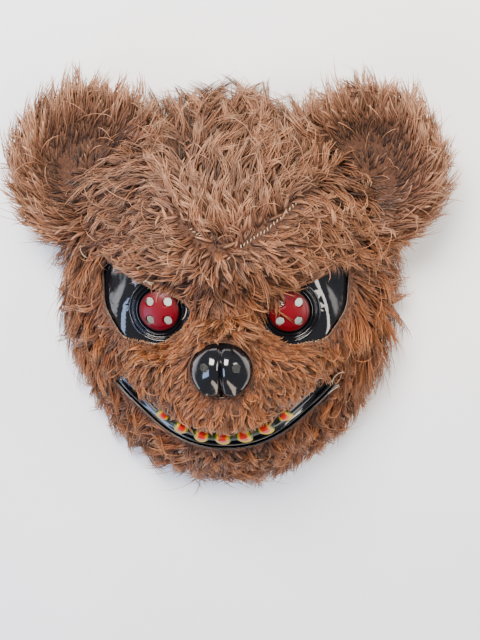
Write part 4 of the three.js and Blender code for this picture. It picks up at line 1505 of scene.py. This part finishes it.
def hair_faces(count, sides, rings):
    """Triangles of closed tapered hairs: rings of points and one tip each."""
    faces = [(0, k, k + 1) for k in range(1, sides - 1)]
    for ring in range(rings - 1):
        for k in range(sides):
            a, b = sides * ring + k, sides * ring + (k + 1) % sides
            faces += [(a, b + sides, b), (a, a + sides, b + sides)]
    last, tip = sides * (rings - 1), sides * rings
    faces += [(last + (k + 1) % sides, last + k, tip) for k in range(sides)]
    return (np.arange(count)[:, None, None] * (tip + 1) + np.array(faces)[None]).reshape(-1, 3)


def hair_mesh(hairs, form):
    """Points, triangles and shading values of hairs given as arrays, one row each."""
    section, widths = form
    sides, rings = len(section), len(widths)
    normal = unit(hairs["normal"])
    flow = unit(hairs["flow"] - (hairs["flow"] * normal).sum(-1, keepdims=True) * normal)
    side = np.cross(flow, normal)
    place = hairs["root"].copy()
    points, strips, alongs = [], [], []

    def mark(share, out):
        alongs.append(share)
        strips.append(np.stack([out, share * hairs["length"], hairs["seed"]], -1))

    for ring, breadth in enumerate(widths):
        share = ring / rings
        ahead = share + 0.5 / rings
        rise = hairs["lift"] + (hairs["lie"] - hairs["lift"]) * ahead**0.7
        turn = hairs["curl"] * ahead + hairs["wave"] * math.sin(2 * math.pi * ahead)
        level = np.cos(turn)[:, None] * flow + np.sin(turn)[:, None] * side
        heading = np.cos(rise)[:, None] * level + np.sin(rise)[:, None] * normal
        across = unit(np.cross(heading, normal))
        top = np.cross(across, heading)
        width = breadth * hairs["width"]
        drawn = hairs["spread"] * (1 - share) ** 0.8 + hairs["tip_spread"] * share
        middle = place + drawn[:, None] * side
        for out, up in section:
            points.append(middle + (out * width)[:, None] * across + (up * width)[:, None] * top)
            mark(share, out * width)
        place = place + heading * (hairs["length"] / rings)[:, None]
    points.append(place + hairs["tip_spread"][:, None] * side)
    mark(1.0, 0 * hairs["width"])
    points = np.stack(points, 1)
    height = points[..., 2]
    laid = LOWEST_HAIR - 0.1 * np.tanh(LOWEST_HAIR - height)
    points[..., 2] = np.where(height < LOWEST_HAIR, laid, height)
    count = len(points)
    along = np.tile(alongs, (count, 1)).ravel()
    tone = np.repeat(hairs["tone"], len(alongs))
    strip = np.stack(strips, 1).reshape(-1, 3)
    return points.reshape(-1, 3), hair_faces(count, sides, rings), along, tone, strip


def strands_of(locks, random):
    """Each lock's strands: roots side by side, tips drawn together."""
    index = np.repeat(np.arange(len(locks["root"])), STRANDS_PER_LOCK)
    total = len(index)
    normal = unit(locks["normal"][index])
    flow = locks["flow"][index]
    flow = unit(flow - (flow * normal).sum(-1, keepdims=True) * normal)
    back = random.uniform(-1, 1, total) * locks["wide"][index] * 0.8
    spread = random.uniform(-1, 1, total) * locks["wide"][index]
    share = random.uniform(0.7, 1.0, total)
    return {
        "root": locks["root"][index] + back[:, None] * flow,
        "normal": normal,
        "flow": flow,
        "spread": spread,
        "tip_spread": locks["gather"][index] * spread + random.normal(0, 0.3, total),
        "length": locks["length"][index] * share,
        "lift": locks["lift"][index] + random.normal(0, 0.09, total),
        "lie": locks["lie"][index] + random.normal(0, 0.08, total),
        "curl": locks["curl"][index] + random.normal(0, 0.12, total),
        "wave": locks["wave"][index] + random.normal(0, 0.1, total),
        "width": random.uniform(0.42, 0.75, total) * locks["thick"][index],
        "tone": np.clip(locks["tone"][index] + random.normal(0, 0.1, total), 0, 1),
        "seed": random.uniform(0, 100, total),
    }


def chosen(hairs, mask):
    return {key: value[mask] for key, value in hairs.items()}


def lone(hairs, random, **changes):
    """Hairs that stand alone, each from its own root."""
    count = len(hairs["root"])
    still = {name: np.zeros(count) for name in ("spread", "tip_spread", "wave")}
    return {**hairs, **still, "seed": random.uniform(0, 100, count), **changes}


def make_fur(name, parts):
    """One piece from several kinds of hair, each a (hairs, form) pair."""
    made = [hair_mesh(hairs, form) for hairs, form in parts]
    starts = np.cumsum([0] + [len(points) for points, *_ in made[:-1]])
    faces = np.concatenate([faces + start for (_, faces, *_), start in zip(made, starts)])
    points, _, along, tone, strip = (np.concatenate(column) for column in zip(*made))
    piece = piece_from(name, points, faces)
    set_attribute(piece, "along", along)
    set_attribute(piece, "tone", tone)
    set_attribute(piece, "strip", strip, "FLOAT_VECTOR")
    return finished(piece, FIBRE)


def trimmed(x, y, heading, length, overhang):
    """Lengths cut back so that no lock reaches further than overhang past a cut-out's edge."""
    allowed = length.copy()
    over = np.zeros(len(x), bool)
    for share in (1.0, 0.85, 0.7, 0.55, 0.42, 0.3, 0.2, 0.12):
        allowed = np.where(over, length * share, allowed)
        over = np.zeros(len(x), bool)
        for way in (0.35, 0.64, 0.92):
            reach = way * allowed
            gap = nearest_outline(x + reach * np.cos(heading), y + reach * np.sin(heading))
            over |= gap < -overhang
    return allowed


def turned_aside(x, y, heading, length, overhang):
    """Headings and lengths, turned away from an edge that would cut a hair to a stub."""
    fitted = trimmed(x, y, heading, length, overhang)
    for turn in (0.8, -0.8, 1.6, -1.6, 2.6):
        short = np.flatnonzero(fitted < 0.5 * length)
        swung = heading[short] + turn
        tried = trimmed(x[short], y[short], swung, length[short], overhang[short])
        better = tried > fitted[short]
        heading[short[better]] = swung[better]
        fitted[short[better]] = tried[better]
    return heading, fitted


# The brow's fur that falls over the right button
FORELOCK = (17, 16)
FORELOCK_RADIUS = 13
FORELOCK_HEADING = math.radians(-42)
FORELOCK_LENGTH = 12  # how much longer it is than the fur round it

# The fur that stands up behind the nose and falls over its top
NOSE_FRINGE_HALF_WIDTH = 11
NOSE_FRINGE_Y = NOSE_Y + NOSE_LENGTH / 2 + 3
NOSE_FRINGE_HALF_HEIGHT = 7
NOSE_FRINGE_LENGTH = 8
NOSE_FRINGE_RISE = 4.5

# How far fur may hang over a cut-out, by where it is rooted
OVERHANG = {"anywhere": 1.0, "mouth": 3.4, "nose": 8.0, "left_eye": 2.5, "forelock": 18.0}
OVER_THE_MOUTH = 12  # how far above the mouth its fringe is rooted


def overhangs(x, y):
    """How far fur that is rooted at a point may hang over a cut-out."""
    over_mouth = (y > open_y(x)) & (y < open_y(x) + OVER_THE_MOUTH)
    over_nose = (np.abs(x) < 9) & (y > NOSE_Y + 6) & (y < 4)
    over_left_eye = (x < -14) & (x > -46) & (y > 4) & (y < 24)
    in_forelock = np.hypot(x - FORELOCK[0], y - FORELOCK[1]) < FORELOCK_RADIUS
    reach = np.full(len(x), OVERHANG["anywhere"])
    reach[(np.abs(x) < MOUTH_OPEN_HALF_WIDTH) & over_mouth] = OVERHANG["mouth"]
    reach[over_nose] = OVERHANG["nose"]
    reach[over_left_eye] = OVERHANG["left_eye"]
    reach[in_forelock] = OVERHANG["forelock"]
    return reach


def face_roots(random, tries, spacing, edge, seam):
    """Roots spread evenly over the cover, clear of its cut-outs and its right-hand seam."""
    widest = SHELL_HALF_WIDTH + ROOT_MARGIN
    x = random.uniform(-widest, widest, tries)
    y = random.uniform(-SHELL_HALF_HEIGHT, SHELL_HALF_HEIGHT, tries)
    normal = face_normal(x, y)
    steep = 1 / np.maximum(normal[:, 2], STEEPEST)
    seam_gap = np.abs(y - seam_y(x)) / math.hypot(1, SEAM_SLOPE)
    held = (rim_share(x, y) < ROOT_RIM_SHARE) & (random.uniform(0, MOST_ROOTS, tries) < steep)
    held &= (seam_gap > seam) | (x > SEAM_SHOWS[1]) | (x < SEAM_SHOWS[0])
    x, y, normal = x[held], y[held], normal[held]
    root = over_face(x, y, np.full(len(x), COVER_TOP - ROOT_SINK))
    clear = (nearest_outline(x, y) > edge) & (root[:, 2] > HEM_LIFT + 1)
    x, y, normal, root = x[clear], y[clear], normal[clear], root[clear]
    heading, length = combing(x, y)
    kept = thinned(root, spacing * np.interp(length, [10, 18, 27], [0.8, 1.0, 1.12]))
    x, y, heading, length = x[kept], y[kept], heading[kept], length[kept]
    below_seam = hump((seam_y(x) - y - 4) / 8) * (x > SEAM_SHOWS[0]) * (x < SEAM_SHOWS[1])
    return {
        "x": x,
        "y": y,
        "root": root[kept],
        "normal": normal[kept],
        "heading": heading,
        "length": length * (1 - 0.3 * below_seam),
        "below_seam": below_seam,
        "at_apex": hump((seam_y(x) - y) / 4) * (x < SEAM_SHOWS[0]),
    }


def turned_flow(roots, heading):
    flow = np.stack([np.cos(heading), np.sin(heading), np.zeros(len(heading))], -1)
    flow[:, 2] = -0.2 * clamp01((rim_share(roots["x"], roots["y"]) - 0.8) / 0.2)
    return flow


def face_locks(random):
    roots = face_roots(random, **LOCK_ROOTS)
    x, y = roots["x"], roots["y"]
    count = len(x)
    at_rim = smooth((rim_share(x, y) - 0.82) / 0.15)
    fallen = hump(np.hypot(x - FORELOCK[0], y - FORELOCK[1]) / FORELOCK_RADIUS)
    heading = roots["heading"] + np.sqrt(fallen) * (FORELOCK_HEADING - roots["heading"])
    heading = heading + random.normal(0, 0.2, count)
    over_nose = hump(x / NOSE_FRINGE_HALF_WIDTH) * hump((y - NOSE_FRINGE_Y) / NOSE_FRINGE_HALF_HEIGHT)
    length = roots["length"] + FORELOCK_LENGTH * fallen + NOSE_FRINGE_LENGTH * over_nose
    length = length * (1 + 0.3 * at_rim) * random.uniform(0.75, 1.15, count)
    length = trimmed(x, y, heading, length, overhangs(x, y))
    flat = 1 - 0.55 * roots["below_seam"]
    droop = np.interp(length, [5, 12, 27], [0.0, -0.06, -0.16])
    lift = np.interp(length, [5, 12, 27], [0.3, 0.46, 0.62]) + 0.3 * at_rim + 0.25 * over_nose
    return {
        **roots,
        "root": roots["root"] + NOSE_FRINGE_RISE * over_nose[:, None] * roots["normal"],
        "flow": turned_flow(roots, heading),
        "length": length,
        "lift": flat * lift * random.uniform(0.7, 1.3, count),
        "lie": droop + random.normal(0, 0.1, count) + 0.1 * at_rim,
        "curl": random.normal(0, 0.6, count),
        "wave": random.normal(0, 0.3, count),
        "wide": np.interp(length, [8, 20], [1.3, 2.1]),
        "gather": np.interp(length, [9, 20], [0.6, 0.15]),
        "thick": np.interp(length, [6, 12, 27], [0.8, 0.92, 1.08]),
        "tone": clamp01(random.normal(0.54, 0.2, count)),
    }


def face_wisps(random):
    """Short, flat and close: they hide the backing right up to its edges."""
    roots = face_roots(random, **WISP_ROOTS)
    x, y = roots["x"], roots["y"]
    count = len(x)
    heading = roots["heading"] + random.normal(0, 0.42, count) * (1 + 2 * roots["at_apex"])
    length = np.interp(roots["length"], [8, 18, 27], [7, 10, 12]) * random.uniform(0.8, 1.2, count)
    heading, length = turned_aside(x, y, heading, length, 0.7 * overhangs(x, y))
    return lone(
        {**roots, "flow": turned_flow(roots, heading), "length": length},
        random,
        lift=np.interp(length, [2, 8], [0.12, 0.3]) * random.uniform(0.6, 1.4, count),
        lie=random.normal(-0.04, 0.06, count),
        curl=random.normal(0, 0.35, count),
        width=np.interp(length, [1, 4, 9], [0.9, 1.8, 2.7]) * random.uniform(0.75, 1.15, count),
        # Toned darker than the locks: painted shade in the cracks between them
        tone=clamp01(random.normal(0.42, 0.14, count)),
    )


def strays_from(locks, random, count):
    """Long pale curls that have worked loose from some of the locks."""
    picked = chosen(locks, random.choice(len(locks["root"]), count, replace=False))
    full = picked["length"] > 9
    picked = chosen(picked, full)
    count = int(full.sum())
    return lone(
        picked,
        random,
        length=picked["length"] * random.uniform(0.8, 1.25, count),
        lift=random.uniform(0.5, 1.15, count),
        lie=random.uniform(-0.6, 0.3, count),
        curl=random.choice([-1, 1], count) * random.uniform(0.4, 2.6, count),
        width=random.uniform(0.32, 0.5, count),
        tone=random.uniform(0.75, 1.0, count),
    )


FRINGE = ([(-0.5, 0), (0.5, 0), (0, 0.5)], [0.9, 0.8])

# Rows of hairs along the cut-outs: spacing, how far back they root, the share that points over
# the edge, and the shortest and longest
EDGE_ROWS = [
    (0.45, 0.5, 0.45, (1.2, 3.0)),
    (0.45, 1.2, 0.3, (2.0, 4.0)),
    (0.5, 2.2, 0.0, (3.0, 6.0)),
    (0.5, 3.2, 0.0, (3.5, 7.0)),
]
FRAY_ROW = (0.45, 0.5, 0.75, (0.7, 2.0))
FRAY_WIDTH = 0.42  # of a hair's


def along_outline(outline, spacing, random):
    """Points spread along a cut-out's edge, and the direction away from the cut-out there."""
    ends = np.roll(outline, -1, axis=0) - outline
    steps = np.linalg.norm(ends, axis=1)
    walked = np.concatenate([[0], np.cumsum(steps)])
    at = np.arange(0.5, walked[-1] / spacing - 0.5) * spacing
    at = at + random.uniform(-0.4, 0.4, len(at)) * spacing
    part = np.searchsorted(walked, at, side="right") - 1
    place = outline[part] + ((at - walked[part]) / steps[part])[:, None] * ends[part]
    area = (outline[:, 0] * ends[:, 1] - outline[:, 1] * ends[:, 0]).sum()
    away = np.sign(area) * np.stack([ends[part, 1], -ends[part, 0]], -1) / steps[part, None]
    return place, away


def edge_hairs(random, spacing, back, turn_in, lengths):
    """Hairs along every cut-out's edge, rooted up to back from it. turn_in is the share of
    them that point over the edge instead of along the pile."""
    rows = [along_outline(outline, spacing, random) for outline in OUTLINES.values()]
    place, away = (np.concatenate(column) for column in zip(*rows))
    place = place + random.uniform(0.1, back, len(place))[:, None] * away
    x, y = place.T
    pile, _ = combing(x, y)
    inward = np.arctan2(-away[:, 1], -away[:, 0])
    heading = np.where(random.uniform(0, 1, len(x)) < turn_in, inward, pile)
    heading = heading + random.normal(0, 0.55, len(x))
    length = random.uniform(*lengths, len(x))
    count = len(x)
    return lone(
        {"root": over_face(x, y, np.full(count, COVER_TOP - 0.35)), "normal": face_normal(x, y)},
        random,
        flow=np.stack([np.cos(heading), np.sin(heading), np.zeros(count)], -1),
        length=trimmed(x, y, heading, length, np.full(count, 1.0)),
        lift=random.uniform(0.05, 0.4, count),
        lie=random.normal(0, 0.1, count),
        curl=random.normal(0, 0.6, count),
        width=random.uniform(0.5, 0.8, count),
        tone=clamp01(random.normal(0.5, 0.16, count)),
    )


def make_edges():
    """Short pile right up to the cut-outs, and the frayed pale threads of the backing."""
    random = np.random.default_rng(EDGE_SEED)
    make_fur("edge_fur", [(edge_hairs(random, *row), FRINGE) for row in EDGE_ROWS])
    fray = edge_hairs(random, *FRAY_ROW)
    fray["width"] = FRAY_WIDTH * fray["width"]
    make_fur("cut_edge_fray", [(fray, FRINGE)]).data.materials[0] = THREAD


# Loose sewing threads: root, height over the cover, heading in degrees, length and curl.
LOOSE_THREADS = [
    (-37, 22, 6, 75, 9, 1.6),
    (-36, 21, 6, 30, 8, -2.2),
    (-39, 19, 5, 100, 7, 1.2),
    (-67, 24, 5, 165, 9, 1.8),
    (55, -40, 1, 105, 12, 2.2),
    (55, -41, 1, 70, 10, -2.4),
    (52, -44, 1, 110, 10, 1.8),
    (-18, 2, 2, -80, 7, 1.0),
]


def make_loose_threads():
    """Ends of thread that hang out by the eyes, the nose and a corner of the mouth."""
    random = np.random.default_rng(THREAD_SEED)
    x, y, height, degrees, length, curl = np.array(LOOSE_THREADS, float).T
    count = len(x)
    heading = np.radians(degrees)
    threads = lone(
        {"root": over_face(x, y, COVER_TOP + height), "normal": face_normal(x, y)},
        random,
        flow=np.stack([np.cos(heading), np.sin(heading), np.zeros(count)], -1),
        length=length,
        lift=np.full(count, 0.7),
        lie=np.full(count, 0.1),
        curl=curl,
        width=np.full(count, 0.4),
        tone=np.full(count, 0.5),
    )
    make_fur("loose_threads", [(threads, STRAY)]).data.materials[0] = THREAD


STITCH_SIZE = (0.95, 0.2, 0.2)  # half lengths
STITCH_GAP = 1.5
STITCH_SLANTS = (62, 38)  # degrees, one stitch after the other
STITCH_RISE = 0.55
STITCHED = [(SEAM_SHOWS[0], SEAM_SHOWS[1] - 9), (-15, -9)]


def make_stitches():
    """Slanted stitches along the parted seam, and the few that show on its other side."""
    bpy.ops.mesh.primitive_uv_sphere_add(segments=10, ring_count=8, radius=1)
    stitch = started("stitch")
    set_coordinates(stitch, coordinates(stitch) * STITCH_SIZE)
    spots = np.concatenate([np.arange(*span, STITCH_GAP) for span in STITCHED])
    made = []
    for index, x in enumerate(spots):
        height = COVER_TOP + STITCH_RISE
        here, ahead = (spot_over_face(at, seam_y(at), height) for at in (x, x + 1))
        normal = Vector(face_normal(np.array([x]), np.array([seam_y(x)]))[0])
        along = (ahead - here).normalized()
        slant = Matrix.Rotation(math.radians(STITCH_SLANTS[index % 2]), 4, normal)
        across = normal.cross(along)
        turned = Matrix((along, across, normal)).transposed().to_4x4()
        copy = stitch.copy()
        copy.data = stitch.data.copy()
        bpy.context.collection.objects.link(copy)
        copy.data.transform(Matrix.Translation(here) @ slant @ turned)
        made.append(copy)
    bpy.data.objects.remove(stitch)
    stitches = join("seam_stitches", made)
    smooth_shaded(stitches, 80)
    finished(stitches, THREAD)


def face_regions(hairs):
    """The face's hairs sorted into its five fur pieces."""
    x, y = hairs["x"], hairs["y"]
    above = y > seam_y(x)
    brow = ~above & (y > 6)
    muzzle = ~above & ~brow & (np.abs(x) < 50) & (y > open_y(x) - 4)
    cheek = ~above & ~brow & ~muzzle
    masks = {
        "crown_fur": above,
        "brow_fur": brow,
        "muzzle_fur": muzzle,
        "cheek_fur_left": cheek & (x < 0),
        "cheek_fur_right": cheek & (x >= 0),
    }
    return {name: chosen(hairs, mask) for name, mask in masks.items()}


def make_face_fur():
    random = np.random.default_rng(FACE_SEED)
    locks, wisps = face_locks(random), face_wisps(random)
    strays = face_regions(strays_from(locks, random, STRAYS_ON_THE_FACE))
    wisps = face_regions(wisps)
    for name, part in face_regions(locks).items():
        strands = strands_of(part, random)
        make_fur(name, [(wisps[name], WISP), (strands, STRAND), (strays[name], STRAY)])


def ear_roots(side, random, tries, spacing):
    """Roots spread evenly over an ear, clear of the head."""
    profile = ear_profile()
    edges = np.diff(profile, axis=0)
    spans = np.linalg.norm(edges, axis=1) * (profile[1:, 0] + profile[:-1, 0]) / 2
    part = random.choice(len(edges), tries, p=spans / spans.sum())
    share = random.uniform(0, 1, tries)
    section = profile[part] + share[:, None] * edges[part]
    outward = unit(np.stack([edges[part][:, 1], -edges[part][:, 0]], -1))
    turn = random.uniform(0, 2 * np.pi, tries)
    ring = np.stack([np.cos(turn), np.sin(turn)], -1)
    local = np.concatenate([section[:, :1] * ring, section[:, 1:]], 1)
    normal = np.concatenate([outward[:, :1] * ring, outward[:, 1:]], 1)
    place = np.array(ear_frame(side))
    root = local @ place[:3, :3].T + place[:3, 3]
    gaps = spacing * np.where(outward[:, 1] > -0.3, 1.0, 1.35)
    over_head = root[:, 2] > face_height(root[:, 0], root[:, 1]) + COVER_TOP
    alive = np.flatnonzero((rim_share(root[:, 0], root[:, 1]) > 1) | over_head)
    kept = alive[thinned(root[alive], gaps[alive])]
    return {
        "root": root[kept] - 0.3 * (normal[kept] @ place[:3, :3].T),
        "normal": normal[kept] @ place[:3, :3].T,
        "turn": turn[kept],
        "out": section[kept, 0] / EAR_RADIUS,
        "front": outward[kept, 1],
    }


# How ear fur lies: swept round by this share of its reach, in three tufts, and upwards
EAR_SWEEP = 0.5
EAR_TUFTS = 0.25
EAR_UPWARDS = 0.6

# Where the dish's short fur, toned darker as painted shade of its hollow, gives way to the rim's, in
# shares of the ear's radius
EAR_DISH_EDGE = 0.84
EAR_DISH_FADE = 0.35


def ear_flow(side, roots, random, scatter):
    """Outwards from the dish, swept round and upwards."""
    turn, front = roots["turn"], roots["front"]
    sweep = side * EAR_TUFTS * np.sin(3 * turn + 0.6) + random.normal(0, scatter, len(turn))
    sweep = sweep + side * EAR_SWEEP
    flow_x = np.cos(turn) - sweep * np.sin(turn)
    flow_y = np.sin(turn) + sweep * np.cos(turn) + EAR_UPWARDS
    level = np.stack([flow_x, flow_y], -1)
    deep = np.where(front > 0, -0.1, 0.15)[:, None]
    turned = np.array(ear_frame(side))[:3, :3]
    return np.concatenate([level, deep], 1) @ turned.T


def in_dish(roots):
    """1 in the middle of an ear's dish, 0 on its rim and its back."""
    return smooth((EAR_DISH_EDGE - roots["out"]) / EAR_DISH_FADE) * (roots["front"] > 0)


def make_ear_fur(side, name):
    random = np.random.default_rng(EAR_SEED + side)
    roots = ear_roots(side, random, **EAR_LOCK_ROOTS)
    count = len(roots["root"])
    out, front = roots["out"], roots["front"]
    dish = in_dish(roots)
    length = np.interp(out, [0, 0.4, 0.7, 0.95], [7, 11, 24, 29])
    length = length * random.uniform(0.8, 1.12, count)
    flow = ear_flow(side, roots, random, 0.12)
    locks = {
        **roots,
        "flow": flow,
        "length": np.where(front < -0.3, 0.75 * length, length),
        "lift": np.interp(out, [0, 0.7, 1], [0.2, 0.3, 0.34]) * random.uniform(0.7, 1.3, count),
        "lie": random.normal(-0.2, 0.08, count),
        "curl": random.normal(0, 0.25, count) - 0.6 * flow[:, 0],
        "wave": random.normal(0, 0.22, count),
        "wide": np.full(count, 2.3),
        "gather": np.full(count, 0.22),
        "thick": np.full(count, 1.05),
        # Darker in the dish: painted shade of its hollow
        "tone": clamp01(random.normal(0.62, 0.12, count) - 0.5 * dish),
    }
    wisp_roots = ear_roots(side, random, **EAR_WISP_ROOTS)
    small = len(wisp_roots["root"])
    wisp_dish = in_dish(wisp_roots)
    wisps = lone(
        wisp_roots,
        random,
        flow=ear_flow(side, wisp_roots, random, 0.4),
        length=random.uniform(9, 13, small) * (1 - 0.25 * wisp_dish),
        lift=random.uniform(0.15, 0.4, small),
        lie=random.normal(-0.06, 0.06, small),
        curl=random.normal(0, 0.35, small),
        width=random.uniform(2.1, 3.1, small) * (1 - 0.3 * wisp_dish),
        # Toned darker than the ear's locks as painted shade between them, and darker still in the dish as
        # painted shade of its hollow
        tone=clamp01(random.normal(0.46, 0.1, small) - 0.38 * wisp_dish),
    )
    strays = strays_from(locks, random, STRAYS_ON_AN_EAR)
    make_fur(name, [(wisps, WISP), (strands_of(locks, random), STRAND), (strays, STRAY)])


make_camera()
make_floor()
make_lights()
make_shell()
make_button(-1, "eye_button_left_red", "eye_button_left")
make_button(1, "eye_button_right_red", "eye_button_right")
make_teeth()
make_backing()
make_ear(-1, "ear_left_pad", "ear_left")
make_ear(1, "ear_right_pad", "ear_right")
make_face_fur()
make_edges()
make_stitches()
make_loose_threads()
make_ear_fur(-1, "ear_fur_left")
make_ear_fur(1, "ear_fur_right")

for node, material in (
    ("elastic_band", ELASTIC),
    ("band_rivet_left", RIVET),
    ("band_rivet_right", RIVET),
):
    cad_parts[node].data.materials.clear()
    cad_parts[node].data.materials.append(material)
